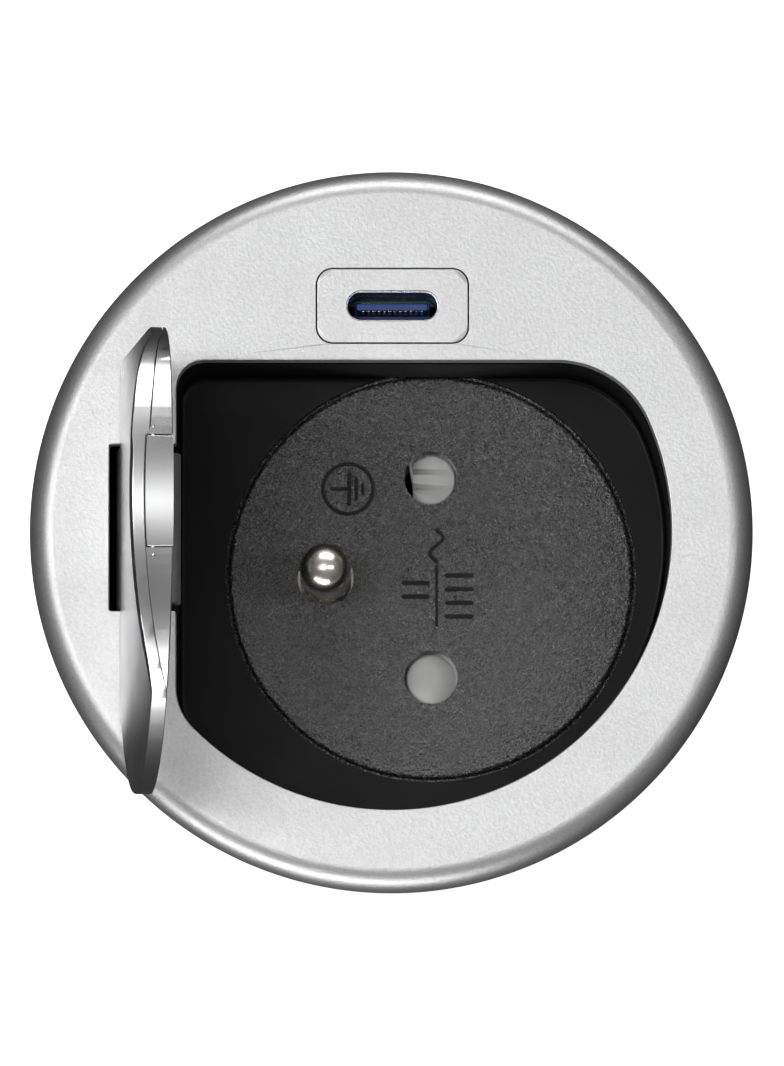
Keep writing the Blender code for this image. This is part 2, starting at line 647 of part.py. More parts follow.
def make_lid():
    """Every piece of the lid, hung open on the hinge."""
    shell = make_lid_shell()
    cheeks = [make_lid_cheek("lid_cheek_upper", 1), make_lid_cheek("lid_cheek_lower", -1)]
    block = make_hinge_block()
    flap = make_cable_flap()
    pin = rod("flap_pin", 0.25, (FLAP_X, -5.9, FLAP_Z), (FLAP_X, 5.9, FLAP_Z), STEEL, sides=12)
    screws = []
    for index, side in enumerate((-1, 1)):
        y = HINGE_Y + side * 4.5
        cut(block, rod("foot_hole", 1.05, (-17, y, -3), (-17, y, 3), sides=12))
        cut(shell, rod("lid_hole", 1.05, (-17, y, 0), (-17, y, 2.6), sides=12))
        screws.append(screw(f"lid_screw_{index + 1}", -17, y, -1.6, 2.3))

    hinge = bpy.data.objects.new("lid_hinge", None)
    hinge.location = Vector((HINGE_X, HINGE_Y, HINGE_Z)) * MM
    hinge.rotation_euler = (0, -math.radians(LID_OPEN), 0)
    flap_hinge = bpy.data.objects.new("flap_hinge", None)
    flap_hinge.location = Vector((FLAP_X - HINGE_X, -HINGE_Y, FLAP_Z - HINGE_Z)) * MM
    flap_hinge.parent = hinge
    for empty in (hinge, flap_hinge):
        cutters.objects.link(empty)
    hang(hinge, (HINGE_X, HINGE_Y, HINGE_Z), shell, *cheeks, block, pin, *screws)
    hang(flap_hinge, (FLAP_X, 0, FLAP_Z), flap)


def make_hinge_pin():
    """The steel pin held by the well's two lugs."""
    ends = (HINGE_Y - 9.8, HINGE_Y + 9.8)
    return rod("hinge_pin", 0.75, (HINGE_X, ends[0], HINGE_Z), (HINGE_X, ends[1], HINGE_Z), STEEL, sides=24)


def make_bezel_screws():
    """Three screws that pull the well's flange up against the bezel."""
    for index, (x, y) in enumerate(SCREW_SPOTS):
        screw(f"bezel_screw_{index + 1}", x, y, -2.8, 1.5)


make_bezel()
make_gasket()
make_usb()
make_well()
make_socket_face()
make_earth_pin()
make_shutter()
make_shutter_spring()
make_contacts()
make_sleeve()
make_cover()
make_clamp()
make_lid()
make_hinge_pin()
make_bezel_screws()
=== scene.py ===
# %% [markdown]
# # A powered desk grommet
#
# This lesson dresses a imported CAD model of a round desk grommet: a silver bezel with a
# hinged lid over a plug well, a charging port, and a threaded body clamped by a nut under
# the desk.  The CAD says where everything is and how it moves.  Here each piece gets its
# fine shape, its small edges and its finish.

# %% Load the frame
import json
import math

import bmesh
import bpy
import numpy as np
from mathutils import Matrix, Vector


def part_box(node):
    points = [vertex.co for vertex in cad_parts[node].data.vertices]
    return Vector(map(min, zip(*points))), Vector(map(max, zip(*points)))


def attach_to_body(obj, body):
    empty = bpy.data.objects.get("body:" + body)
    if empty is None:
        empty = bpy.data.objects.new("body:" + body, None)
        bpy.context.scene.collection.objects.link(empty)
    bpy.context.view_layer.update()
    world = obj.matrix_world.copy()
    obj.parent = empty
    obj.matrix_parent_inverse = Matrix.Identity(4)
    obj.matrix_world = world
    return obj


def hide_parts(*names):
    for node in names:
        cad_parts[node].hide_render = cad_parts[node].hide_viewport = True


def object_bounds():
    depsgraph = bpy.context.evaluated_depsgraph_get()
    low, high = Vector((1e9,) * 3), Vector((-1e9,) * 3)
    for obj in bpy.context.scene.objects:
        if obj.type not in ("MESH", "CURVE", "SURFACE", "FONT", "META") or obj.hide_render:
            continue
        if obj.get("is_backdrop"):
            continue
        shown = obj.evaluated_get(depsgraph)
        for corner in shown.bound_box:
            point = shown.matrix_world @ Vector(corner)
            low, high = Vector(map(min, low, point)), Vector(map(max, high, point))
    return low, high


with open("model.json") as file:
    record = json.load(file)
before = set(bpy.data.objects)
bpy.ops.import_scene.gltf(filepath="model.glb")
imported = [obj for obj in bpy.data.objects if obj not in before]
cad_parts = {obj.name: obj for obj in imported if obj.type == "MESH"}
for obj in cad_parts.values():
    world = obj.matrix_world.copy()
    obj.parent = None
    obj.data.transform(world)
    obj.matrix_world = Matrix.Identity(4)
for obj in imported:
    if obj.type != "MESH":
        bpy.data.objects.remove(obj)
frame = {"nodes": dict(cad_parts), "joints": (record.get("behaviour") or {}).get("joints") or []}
cad_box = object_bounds()
joints = {joint["name"]: joint for joint in frame["joints"]}

# %% [markdown]
# ## Sizes
#
# All lengths are metres, as in Blender, so millimetres are multiplied by MM.  Whatever the
# frame can tell is read from it.  The opening's outline is a design rule of its own: one
# large arc cut off by a left edge and a top edge, with three round corners.

# %% Driving sizes
MM = 0.001
bezel_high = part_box("bezel")[1]
BEZEL_R = bezel_high.x
BEZEL_TOP = bezel_high.z
RIM_ROUND = 2.3 * MM
OPEN_R = 26.3 * MM
OPEN_LEFT = -20.2 * MM
OPEN_TOP = 16.05 * MM
CORNERS = {"top_left": 2.7 * MM, "top_right": 9.4 * MM, "low_left": 5.6 * MM}
SCREW_HOLE_R = 1.05 * MM
PIN_BORE_R = 0.9 * MM
print("bezel radius", round(BEZEL_R / MM, 2), "mm, top", round(BEZEL_TOP / MM, 2), "mm")

# %% [markdown]
# ## The camera
#
# The object is seen from almost straight above, from a metre and a half away with a long
# lens, so that the deep well shows hardly any of its walls.  The camera looks almost at
# the middle of the bezel.

# %% Camera
CAMERA_HEIGHT = 1.55
CAMERA_BACK = 0.1223
CAMERA_LEFT = 0.004
LOOK_AT = Vector((0.00006, -0.00027, BEZEL_TOP))
FRAME_HEIGHT = 0.1001  # what the long side of the picture takes in, at the bezel

camera_data = bpy.data.cameras.new("camera")
camera = bpy.data.objects.new("camera", camera_data)
bpy.context.scene.collection.objects.link(camera)
bpy.context.scene.camera = camera
camera.location = (-CAMERA_LEFT, -CAMERA_BACK, BEZEL_TOP + CAMERA_HEIGHT)
forward = (LOOK_AT - camera.location).normalized()
right = forward.cross(Vector((0, 1, 0))).normalized()
upward = right.cross(forward)
camera.rotation_euler = Matrix((right, upward, -forward)).transposed().to_euler()
camera_data.sensor_width = 36.0
camera_data.lens = 36.0 * (LOOK_AT - camera.location).length / FRAME_HEIGHT
camera_data.clip_end = 20.0
print("lens", round(camera_data.lens, 1), "mm")

# %% [markdown]
# ## Outlines
#
# Most pieces are flat plates with rounded edges.  An outline is a list of points going
# anticlockwise, and it can be grown or shrunk by pushing each point along its normal.

# %% Outline helpers
def arc(centre, radius, start, end, step=3.0):
    """Points along an arc; angles in degrees."""
    count = max(2, round(abs(end - start) / step) + 1)
    angles = np.radians(np.linspace(start, end, count))
    return [(centre[0] + radius * math.cos(a), centre[1] + radius * math.sin(a)) for a in angles]


def circle(centre, radius, count=192):
    """A closed ring of points."""
    return arc(centre, radius, 0, 360 - 360 / count, 360 / count)


def rounded_rectangle(centre, size, radius, step=7.5):
    """A rectangle with round corners."""
    half_x = size[0] / 2 - radius
    half_y = size[1] / 2 - radius
    outline = []
    for quarter, (sx, sy) in enumerate(((1, 1), (-1, 1), (-1, -1), (1, -1))):
        corner = (centre[0] + sx * half_x, centre[1] + sy * half_y)
        outline += arc(corner, radius, 90 * quarter, 90 * quarter + 90, step)
    return outline


def grown(outline, amounts):
    """Each point pushed outwards along its corner's normal; amounts is one length or one per point."""
    points = np.array(outline)
    amounts = np.broadcast_to(np.asarray(amounts, dtype=float), len(points))
    before = points - np.roll(points, 1, axis=0)
    after = np.roll(points, -1, axis=0) - points
    before /= np.linalg.norm(before, axis=1, keepdims=True)
    after /= np.linalg.norm(after, axis=1, keepdims=True)
    normals = np.stack([before[:, 1] + after[:, 1], -before[:, 0] - after[:, 0]], axis=1)
    lengths = np.linalg.norm(normals, axis=1, keepdims=True)
    normals /= lengths
    miter = np.clip(2 / lengths[:, 0], 1, 1.6)
    return points + normals * (amounts * miter)[:, None]


def well_outline(grow=0.0, tab=None):
    """The D-shaped opening.  tab = (reach, low, high) adds a rectangle at the hinge side."""
    top_right = [0, OPEN_TOP - CORNERS["top_right"]]
    top_right[0] = math.sqrt((OPEN_R - CORNERS["top_right"]) ** 2 - top_right[1] ** 2)
    low_left = [OPEN_LEFT + CORNERS["low_left"], 0]
    low_left[1] = -math.sqrt((OPEN_R - CORNERS["low_left"]) ** 2 - low_left[0] ** 2)
    top_left = (OPEN_LEFT + CORNERS["top_left"], OPEN_TOP - CORNERS["top_left"])
    first = math.degrees(math.atan2(top_right[1], top_right[0]))
    last = 360 + math.degrees(math.atan2(low_left[1], low_left[0]))
    outline = arc(top_right, CORNERS["top_right"] + grow, first, 90)
    outline += arc(top_left, CORNERS["top_left"] + grow, 90, 180, 6)
    if tab:
        reach, low, high = tab
        left = OPEN_LEFT - grow
        bead = 0.25 * MM
        outline += arc((left - bead, high + bead), bead, 0, -90, 30)
        outline += arc((reach + bead, high - bead), bead, 90, 180, 30)
        outline += arc((reach + bead, low + bead), bead, 180, 270, 30)
        outline += arc((left - bead, low - bead), bead, 90, 0, 30)
    outline += arc(low_left, CORNERS["low_left"] + grow, 180, last, 4)
    outline += arc((0, 0), OPEN_R + grow, last, 360 + first, 2)[1:-1]
    return outline


print("points on the opening's outline:", len(well_outline()))

# %% [markdown]
# ## Plates and turned pieces
#
# `plate` makes one closed body from an outer outline and any holes.  Every outline has a
# side: a list of (inset, z) pairs from the top edge to the bottom edge.  A small quarter
# round at each end of the side is what makes an edge catch the light.  `turned` spins a
# profile round the Z axis.

# %% Mesh helpers
def rounded_side(high, low, top_round, bottom_round=0.05 * MM, parts=4):
    """A straight side with a quarter round at its top and bottom: (inset, z) pairs."""
    side = []
    for i in range(parts + 1):
        angle = math.pi / 2 * i / parts
        side.append((top_round * (1 - math.sin(angle)), high - top_round * (1 - math.cos(angle))))
    for i in range(parts + 1):
        angle = math.pi / 2 * i / parts
        side.append((bottom_round * (1 - math.cos(angle)), low + bottom_round * (1 - math.sin(angle))))
    return side


def smooth(obj, sharp=30.0):
    """Smooth shading, sharp above an angle, with big flat faces kept truly flat."""
    obj.data.shade_smooth()
    obj.data.set_sharp_from_angle(angle=math.radians(sharp))
    weighting = obj.modifiers.new("weighting", "WEIGHTED_NORMAL")
    weighting.keep_sharp = True
    return settle(obj)


def settle(obj):
    """Bake an object's modifiers into a plain mesh."""
    graph = bpy.context.evaluated_depsgraph_get()
    mesh = bpy.data.meshes.new_from_object(obj.evaluated_get(graph))
    obj.modifiers.clear()
    obj.data = mesh
    return obj


def finish_mesh(name, shape):
    """Weld, turn the faces outwards and make an object."""
    bmesh.ops.remove_doubles(shape, verts=shape.verts, dist=1e-7)
    bmesh.ops.dissolve_degenerate(shape, edges=shape.edges, dist=1e-8)
    bmesh.ops.recalc_face_normals(shape, faces=shape.faces)
    mesh = bpy.data.meshes.new(name)
    shape.to_mesh(mesh)
    shape.free()
    made = bpy.data.objects.new(name, mesh)
    bpy.context.scene.collection.objects.link(made)
    return smooth(made)


def wall(shape, outline, side, inwards):
    """The faces down one outline's side; returns its top and bottom rings of vertices."""
    rings = []
    for inset, z in side:
        points = grown(outline, -inset * inwards)
        heights = np.broadcast_to(z, len(points))
        rings.append([shape.verts.new((x, y, height)) for (x, y), height in zip(points, heights)])
    for upper, lower in zip(rings, rings[1:]):
        for i in range(len(upper)):
            j = (i + 1) % len(upper)
            shape.faces.new((upper[i], lower[i], lower[j], upper[j]))
    return rings[0], rings[-1]


def plate_shape(outer, holes=()):
    """A bmesh for a plate: outer and each hole are (outline, side) pairs."""
    shape = bmesh.new()
    ends = [wall(shape, *outer, inwards=1)]
    ends += [wall(shape, *hole, inwards=-1) for hole in holes]
    for level in (0, 1):
        edges = []
        for pair in ends:
            ring = pair[level]
            for i in range(len(ring)):
                edge = shape.edges.get((ring[i], ring[(i + 1) % len(ring)]))
                edges.append(edge)
        bmesh.ops.triangle_fill(shape, edges=edges, use_beauty=True)
    return shape


def plate(name, outer, holes=()):
    """A closed plate with holes."""
    return finish_mesh(name, plate_shape(outer, holes))


def turned(name, profile, centre=(0, 0), steps=128):
    """A closed (radius, z) profile spun about a vertical axis."""
    shape = bmesh.new()
    rings = []
    for r, z in profile:
        count = 1 if r < 1e-9 else steps
        angles = [2 * math.pi * i / steps for i in range(count)]
        ring = [(centre[0] + r * math.cos(a), centre[1] + r * math.sin(a), z) for a in angles]
        rings.append([shape.verts.new(place) for place in ring])
    closed = profile[0][0] > 1e-9
    pairs = list(zip(rings, rings[1:])) + ([(rings[-1], rings[0])] if closed else [])
    for upper, lower in pairs:
        for i in range(steps):
            j = (i + 1) % steps
            near = [upper[i % len(upper)], lower[i % len(lower)]]
            far = [lower[j % len(lower)], upper[j % len(upper)]]
            corners = list(dict.fromkeys(near + far))
            if len(corners) > 2:
                shape.faces.new(corners)
    return finish_mesh(name, shape)


def fillet(points, radius, parts=4):
    """A (radius, z) profile with every inner corner rounded."""
    rounded = [points[0]]
    for before, corner, after in zip(points, points[1:], points[2:]):
        corner = Vector(corner)
        back = Vector(before) - corner
        on = Vector(after) - corner
        reach = min(radius, back.length * 0.45, on.length * 0.45)
        start = corner + back.normalized() * reach
        end = corner + on.normalized() * reach
        for i in range(parts + 1):
            t = i / parts
            rounded.append(tuple(start.lerp(corner, t).lerp(corner.lerp(end, t), t)))
    return rounded + [points[-1]]


def boolean(target, operation, *tools):
    """Cut with, or join, other objects, and remove them."""
    for tool in tools:
        step = target.modifiers.new("step", "BOOLEAN")
        step.operation = operation
        step.solver = "EXACT"
        step.object = tool
        settle(target)
        bpy.data.objects.remove(tool, do_unlink=True)
    shape = bmesh.new()
    shape.from_mesh(target.data)
    bmesh.ops.remove_doubles(shape, verts=shape.verts, dist=2e-7)
    bmesh.ops.dissolve_degenerate(shape, edges=shape.edges, dist=1e-7)
    shape.to_mesh(target.data)
    shape.free()
    return smooth(target)


def cut(target, *tools):
    return boolean(target, "DIFFERENCE", *tools)


def join(target, *tools):
    return boolean(target, "UNION", *tools)


def block(name, low, high, edge=0.15 * MM):
    """A rounded block between two corners, in metres."""
    centre = [(a + b) / 2 for a, b in zip(low, high)]
    size = [b - a for a, b in zip(low, high)]
    outline = rounded_rectangle(centre, size, max(edge, 0.02 * MM), 22.5)
    return plate(name, (outline, rounded_side(high[2], low[2], edge, edge)))


def post(name, centre, radius, low, high, edge=0.1 * MM, count=48):
    """A round post with rounded ends."""
    return plate(name, (circle(centre, radius, count), rounded_side(high, low, edge, edge)))


def spun(obj, matrix):
    """Move an object's mesh."""
    obj.data.transform(matrix)
    return obj


def mm(*values):
    """Lengths in millimetres as metres."""
    return tuple(value * MM for value in values)


def attach(piece, body, material, node=None):
    """Give a piece its finish, its body, and the CAD nodes that it stands for."""
    piece.data.materials.clear()
    piece.data.materials.append(material)
    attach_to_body(piece, body)
    if node:
        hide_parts(*([node] if isinstance(node, str) else node))
    print(piece.name, "rides on", body, "with", len(piece.data.polygons), "faces")
    return piece


# %% [markdown]
# ## Finishes
#
# Every finish is a Principled shader with its grain built from noise on Object
# coordinates, so it stays put on the piece.  `Finish` keeps the node wiring short.

# %% Finish helper
class Finish:
    """A material being built: a Principled shader plus noise, ramp and bump helpers."""

    def __init__(self, name, colour, roughness, metallic=0.0):
        self.material = bpy.data.materials.new(name)
        self.material.use_nodes = True
        self.tree = self.material.node_tree
        self.shader = self.tree.nodes["Principled BSDF"]
        self.shader.inputs["Base Color"].default_value = (*colour, 1.0)
        self.shader.inputs["Roughness"].default_value = roughness
        self.shader.inputs["Metallic"].default_value = metallic
        self.colour = colour
        self.coordinates = self.tree.nodes.new("ShaderNodeTexCoord")
        self.last_bump = None

    def link(self, source, target):
        self.tree.links.new(source, target)

    def noise(self, scale, detail=2.0, roughness=0.5, stretch=(1, 1, 1)):
        """A noise pattern; scale is in features per metre."""
        mapping = self.tree.nodes.new("ShaderNodeMapping")
        mapping.inputs["Scale"].default_value = stretch
        self.link(self.coordinates.outputs["Object"], mapping.inputs["Vector"])
        texture = self.tree.nodes.new("ShaderNodeTexNoise")
        texture.inputs["Scale"].default_value = scale
        texture.inputs["Detail"].default_value = detail
        texture.inputs["Roughness"].default_value = roughness
        self.link(mapping.outputs["Vector"], texture.inputs["Vector"])
        return texture.outputs["Fac"]

    def cells(self, scale, randomness=1.0):
        """A cell pattern: the distance to the nearest cell centre."""
        texture = self.tree.nodes.new("ShaderNodeTexVoronoi")
        texture.inputs["Scale"].default_value = scale
        texture.inputs["Randomness"].default_value = randomness
        self.link(self.coordinates.outputs["Object"], texture.inputs["Vector"])
        return texture.outputs["Distance"]

    def spread(self, value, low, high, from_low=0.3, from_high=0.7):
        """Map a pattern to a range."""
        node = self.tree.nodes.new("ShaderNodeMapRange")
        node.inputs["From Min"].default_value = from_low
        node.inputs["From Max"].default_value = from_high
        node.inputs["To Min"].default_value = low
        node.inputs["To Max"].default_value = high
        self.link(value, node.inputs["Value"])
        return node.outputs["Result"]

    def vary_colour(self, pattern, other, low=0.35, high=0.65):
        """Blend the base colour towards another one where the pattern is high."""
        mix = self.tree.nodes.new("ShaderNodeMix")
        mix.data_type = "RGBA"
        mix.inputs[6].default_value = (*self.colour, 1.0)
        mix.inputs[7].default_value = (*other, 1.0)
        self.link(self.spread(pattern, 0, 1, low, high), mix.inputs[0])
        self.link(mix.outputs[2], self.shader.inputs["Base Color"])

    def vary_roughness(self, pattern, low, high):
        self.link(self.spread(pattern, low, high), self.shader.inputs["Roughness"])

    def bump(self, pattern, height, strength=1.0):
        """Relief of a height in metres; several calls add up."""
        node = self.tree.nodes.new("ShaderNodeBump")
        node.inputs["Strength"].default_value = strength
        node.inputs["Distance"].default_value = height
        self.link(pattern, node.inputs["Height"])
        if self.last_bump:
            self.link(self.last_bump, node.inputs["Normal"])
        self.last_bump = node.outputs["Normal"]
        self.link(self.last_bump, self.shader.inputs["Normal"])


# %% [markdown]
# ### Silver lacquer
#
# The bezel is painted with a satin silver lacquer.  Metal flakes give a fine, barely
# visible grain about a quarter of a millimetre across, so the finish gets a soft bump at
# that size, a slight change of brightness, and a slow change of roughness over it.

# %% Silver lacquer
def silver_lacquer(name="silver_lacquer", grain=1.0, colour=(0.56, 0.56, 0.565)):
    made = Finish(name, colour, 0.43, 0.86)
    flakes = made.noise(3800, 3.0, 0.6)
    made.vary_colour(flakes, tuple(c * 0.84 for c in colour), 0.4, 0.75)
    made.vary_roughness(made.noise(160, 2.0), 0.41, 0.45)
    made.bump(flakes, 0.026 * MM * grain, 0.8)
    made.bump(made.noise(9000, 1.0), 0.003 * MM * grain, 0.6)
    return made.material


LACQUER = silver_lacquer()
print("made", LACQUER.name)

# %% [markdown]
# ### Bright lid metal
#
# The lid is smoother: bright metal with a soft shine.  A faint long brushing keeps its
# reflections from looking like glass.

# %% Lid metals
def bright_metal(name, colour, low, high, brushing=0.0):
    made = Finish(name, colour, (low + high) / 2, 1.0)
    made.vary_roughness(made.noise(90, 3.0), low, high)
    streaks = made.noise(500, 2.0, 0.5, (1, 12, 1))
    made.bump(streaks, 0.002 * MM * (0.3 + brushing), 0.4)
    made.vary_colour(made.noise(60, 2.0), tuple(c * 0.95 for c in colour))
    return made.material


LID_MIRROR = bright_metal("lid_mirror", (0.82, 0.82, 0.825), 0.27, 0.33)
LID_SATIN = bright_metal("lid_satin", (0.72, 0.72, 0.725), 0.26, 0.34, 0.6)
print("made", LID_MIRROR.name, "and", LID_SATIN.name)

# %% [markdown]
# ### Black plastics
#
# Three blacks: the well is a smooth satin moulding, the socket face is spark eroded (a
# fine, sparkling grain), and the body under the desk is a plain matt moulding, which also
# dresses the raised markings so that they stand out from the grain.

# %% Black plastics
def moulded_black(name, value, low, high, grain, size):
    made = Finish(name, (value, value, value * 1.05), (low + high) / 2)
    made.shader.inputs["Specular IOR Level"].default_value = 0.12
    made.vary_roughness(made.noise(120, 3.0), low, high)
    made.vary_colour(made.noise(70, 2.0), (value * 1.5, value * 1.5, value * 1.55))
    made.bump(made.noise(size, 3.0, 0.6), grain * MM, 0.8)
    return made.material


def eroded_black():
    made = Finish("socket_grain", (0.018, 0.018, 0.0185), 0.26)
    made.shader.inputs["Specular IOR Level"].default_value = 1.0
    pits = made.noise(3900, 2.0, 0.6)
    made.vary_colour(pits, (0.09, 0.09, 0.091), 0.5, 0.75)
    made.vary_roughness(made.noise(3400, 1.0), 0.20, 0.32)
    made.bump(pits, 0.14 * MM, 1.0)
    made.bump(made.cells(3300), 0.05 * MM, 0.8)
    return made.material


WELL_BLACK = moulded_black("well_black", 0.003, 0.34, 0.42, 0.006, 900)
BODY_BLACK = moulded_black("body_black", 0.018, 0.42, 0.52, 0.012, 2200)
SOCKET_GRAIN = eroded_black()
print("made", WELL_BLACK.name, BODY_BLACK.name, SOCKET_GRAIN.name)

# %% [markdown]
# ### Small parts' finishes
#
# Light plastic for the shutter, nickel for the earth pin, steel, brass and gold for the
# contacts, foam under the bezel, and a circuit board's green.

# %% Small finishes
def plain(name, colour, low, high, metallic=0.0, grain=0.004, size=1500):
    made = Finish(name, colour, (low + high) / 2, metallic)
    made.vary_roughness(made.noise(300, 3.0), low, high)
    made.vary_colour(made.noise(200, 2.0), tuple(c * 0.88 for c in colour))
    made.bump(made.noise(size, 2.0), grain * MM, 0.6)
    return made.material


SHUTTER_WHITE = plain("shutter_white", (0.93, 0.93, 0.92), 0.3, 0.4)
NICKEL = plain("nickel", (0.97, 0.93, 0.84), 0.24, 0.30, 1.0, 0.0006, 900)
STEEL = plain("steel", (0.60, 0.60, 0.61), 0.24, 0.34, 1.0, 0.002)
PORT_STEEL = plain("port_steel", (0.42, 0.42, 0.43), 0.2, 0.3, 1.0, 0.001)
BRASS = plain("brass", (0.80, 0.60, 0.28), 0.2, 0.32, 1.0, 0.002)
GOLD = plain("gold", (0.95, 0.70, 0.28), 0.18, 0.26, 1.0, 0.001)
PORT_BLUE = plain("port_blue", (0.002, 0.045, 0.26), 0.4, 0.5)
FOAM = plain("foam", (0.03, 0.03, 0.032), 0.85, 0.95, 0.0, 0.08, 1800)
BOARD_GREEN = plain("board_green", (0.015, 0.14, 0.05), 0.35, 0.5)
TAPE = plain("transformer_tape", (0.75, 0.58, 0.10), 0.35, 0.5)
print("made the small finishes")

# %% [markdown]
# ## Bezel
#
# The bezel is one plate: a broad round rim outside, a fine round at the opening, the notch
# that the lid's hinge passes through, and the window for the charging port.  Its underside
# has the groove that holds the foam ring.

# %% Bezel
quarter = np.radians(np.linspace(0, 90, 25))
rim = [(RIM_ROUND * (1 - math.sin(a)), BEZEL_TOP - RIM_ROUND * (1 - math.cos(a))) for a in quarter]
rim += [mm(0, 0.1), mm(0.1, 0), mm(0.8, 0), mm(0.8, 0.8), mm(3.6, 0.8), mm(3.6, 0)]
OPENING_EDGE = rounded_side(BEZEL_TOP, 0, 0.14 * MM)
HINGE = Vector(joints["lid_hinge"]["pos_m"])
NOTCH = (-26.5 * MM, HINGE.y - 7.85 * MM, HINGE.y + 7.85 * MM)
PORT = Vector(mm(0.1, 21.15))
window = rounded_rectangle(PORT, mm(14.4, 7.16), 1.6 * MM)
bezel = plate(
    "bezel_cover",
    (circle((0, 0), BEZEL_R, 288), rim),
    [(well_outline(tab=NOTCH), OPENING_EDGE), (window, rounded_side(BEZEL_TOP, 0, 0.05 * MM, parts=2))],
)
SCREW_SPOTS = [mm(-14.0, 20.6), mm(14.6, 20.2), mm(-22.9, -13.0)]
cut(bezel, *[post("hole", spot, SCREW_HOLE_R, -1 * MM, 1.8 * MM, count=24) for spot in SCREW_SPOTS])
for side in (-1, 1):
    near, far = sorted((HINGE.y + side * 6.85 * MM, HINGE.y + side * 10.5 * MM))
    cut(bezel, block("lug_recess", (-25.2 * MM, near, -1 * MM), (-20.9 * MM, far, 1.9 * MM)))
attach(bezel, "housing", LACQUER, "bezel")

gasket = turned("foam_ring", fillet([mm(32.9, 0.5), mm(32.9, 0), mm(30.7, 0), mm(30.7, 0.5)], 0.15 * MM))
attach(gasket, "housing", FOAM, "flange_gasket")

# %% [markdown]
# ## Charging port
#
# A flush panel with a hair-thin seam holds the metal shell of the port.  The mouth is
# chamfered.  Inside stands the tongue, with a row of twelve contacts on each side.  The
# contacts are made by a small node tree: one contact, copied along a line.

# %% Charging port
PANEL_LOW = 0.6 * MM
panel_side = rounded_side(BEZEL_TOP, PANEL_LOW, 0.05 * MM, parts=2)
mouth_side = [(-0.16 * MM, BEZEL_TOP), (-0.05 * MM, BEZEL_TOP - 0.10 * MM)]
mouth_side += [(0, BEZEL_TOP - 0.3 * MM), (0, PANEL_LOW)]
mouth = (rounded_rectangle(PORT, mm(9.04, 3.30), 1.64 * MM), mouth_side)
panel = plate("port_panel", (rounded_rectangle(PORT, mm(14.16, 6.92), 1.48 * MM), panel_side), [mouth])
attach(panel, "housing", LACQUER, "usb_panel")

shell_side = rounded_side(2.6 * MM, -6 * MM, 0.1 * MM)
port_shell = plate(
    "port_shell",
    (rounded_rectangle(PORT, mm(8.94, 3.16), 1.57 * MM), shell_side),
    [(rounded_rectangle(PORT, mm(8.34, 2.56), 1.27 * MM), shell_side)],
)
attach(port_shell, "housing", PORT_STEEL, "usb_shell")

tongue_low = (PORT.x - 3.35 * MM, PORT.y - 0.35 * MM, -5.8 * MM)
tongue = block("port_tongue", tongue_low, (PORT.x + 3.35 * MM, PORT.y + 0.35 * MM, 1.7 * MM), 0.12 * MM)
root_low = (PORT.x - 3.6 * MM, PORT.y - 0.95 * MM, -6.0 * MM)
join(tongue, block("root", root_low, (PORT.x + 3.6 * MM, PORT.y + 0.95 * MM, -4.6 * MM), 0.1 * MM))
attach(tongue, "housing", PORT_BLUE, "usb_tongue")

# %% [markdown]
# A node tree has named inputs, so the same tree can make another row with other numbers.
# Its result is turned into a plain mesh before it joins the object.

# %% Node tree helpers
def add_input(tree, name, value):
    """A named float input; returns its identifier."""
    socket = tree.interface.new_socket(name, in_out="INPUT", socket_type="NodeSocketFloat")
    socket.default_value = value
    return socket.identifier


def node_tree(name, inputs):
    """A geometry node tree with named inputs; returns the tree, its group input and the identifiers."""
    tree = bpy.data.node_groups.new(name, "GeometryNodeTree")
    tree.interface.new_socket("Geometry", in_out="OUTPUT", socket_type="NodeSocketGeometry")
    identifiers = {label: add_input(tree, label, value) for label, value in inputs.items()}
    return tree, tree.nodes.new("NodeGroupInput"), identifiers


def wired(tree, kind, options=None, **links):
    """A node with its inputs either linked from a socket or set to a value."""
    node = tree.nodes.new(kind)
    for option, value in (options or {}).items():
        setattr(node, option, value)
    for label, source in links.items():
        socket = node.inputs[label.replace("_", " ")]
        if isinstance(source, bpy.types.NodeSocket):
            tree.links.new(source, socket)
        else:
            socket.default_value = source
    return node


def grown_mesh(name, tree, geometry, material, identifiers, values):
    """End the tree with Realize Instances and Set Material, run it and keep the plain mesh."""
    real = wired(tree, "GeometryNodeRealizeInstances", Geometry=geometry)
    coloured = wired(tree, "GeometryNodeSetMaterial", Geometry=real.outputs["Geometry"])
    coloured.inputs["Material"].default_value = material
    output = tree.nodes.new("NodeGroupOutput")
    tree.links.new(coloured.outputs["Geometry"], output.inputs["Geometry"])
    made = bpy.data.objects.new(name, bpy.data.meshes.new(name))
    bpy.context.scene.collection.objects.link(made)
    step = made.modifiers.new("grow", "NODES")
    step.node_group = tree
    for label, value in values.items():
        step[identifiers[label]] = value
    settle(made)
    return smooth(made)


# %% Port contacts
row_inputs = {"Count": 12.0, "Pitch": 0.5 * MM, "Width": 0.26 * MM, "Height": 3.2 * MM}
tree, given, names = node_tree("contact_row", row_inputs)
width, height = given.outputs["Width"], given.outputs["Height"]
contact_size = wired(tree, "ShaderNodeCombineXYZ", X=width, Y=0.06 * MM, Z=height)
contact = wired(tree, "GeometryNodeMeshCube", Size=contact_size.outputs["Vector"])
step_along = wired(tree, "ShaderNodeCombineXYZ", X=given.outputs["Pitch"])
row = tree.nodes.new("GeometryNodeMeshLine")
tree.links.new(given.outputs["Count"], row.inputs["Count"])
tree.links.new(step_along.outputs["Vector"], row.inputs["Offset"])
copies = wired(
    tree, "GeometryNodeInstanceOnPoints", Points=row.outputs["Mesh"], Instance=contact.outputs["Mesh"]
)
contacts = grown_mesh("port_contacts_upper", tree, copies.outputs["Instances"], GOLD, names, {"Count": 12.0})
spun(contacts, Matrix.Translation((PORT.x - 2.75 * MM, PORT.y + 0.35 * MM, -0.3 * MM)))
attach(contacts, "housing", GOLD)
other_side = contacts.copy()
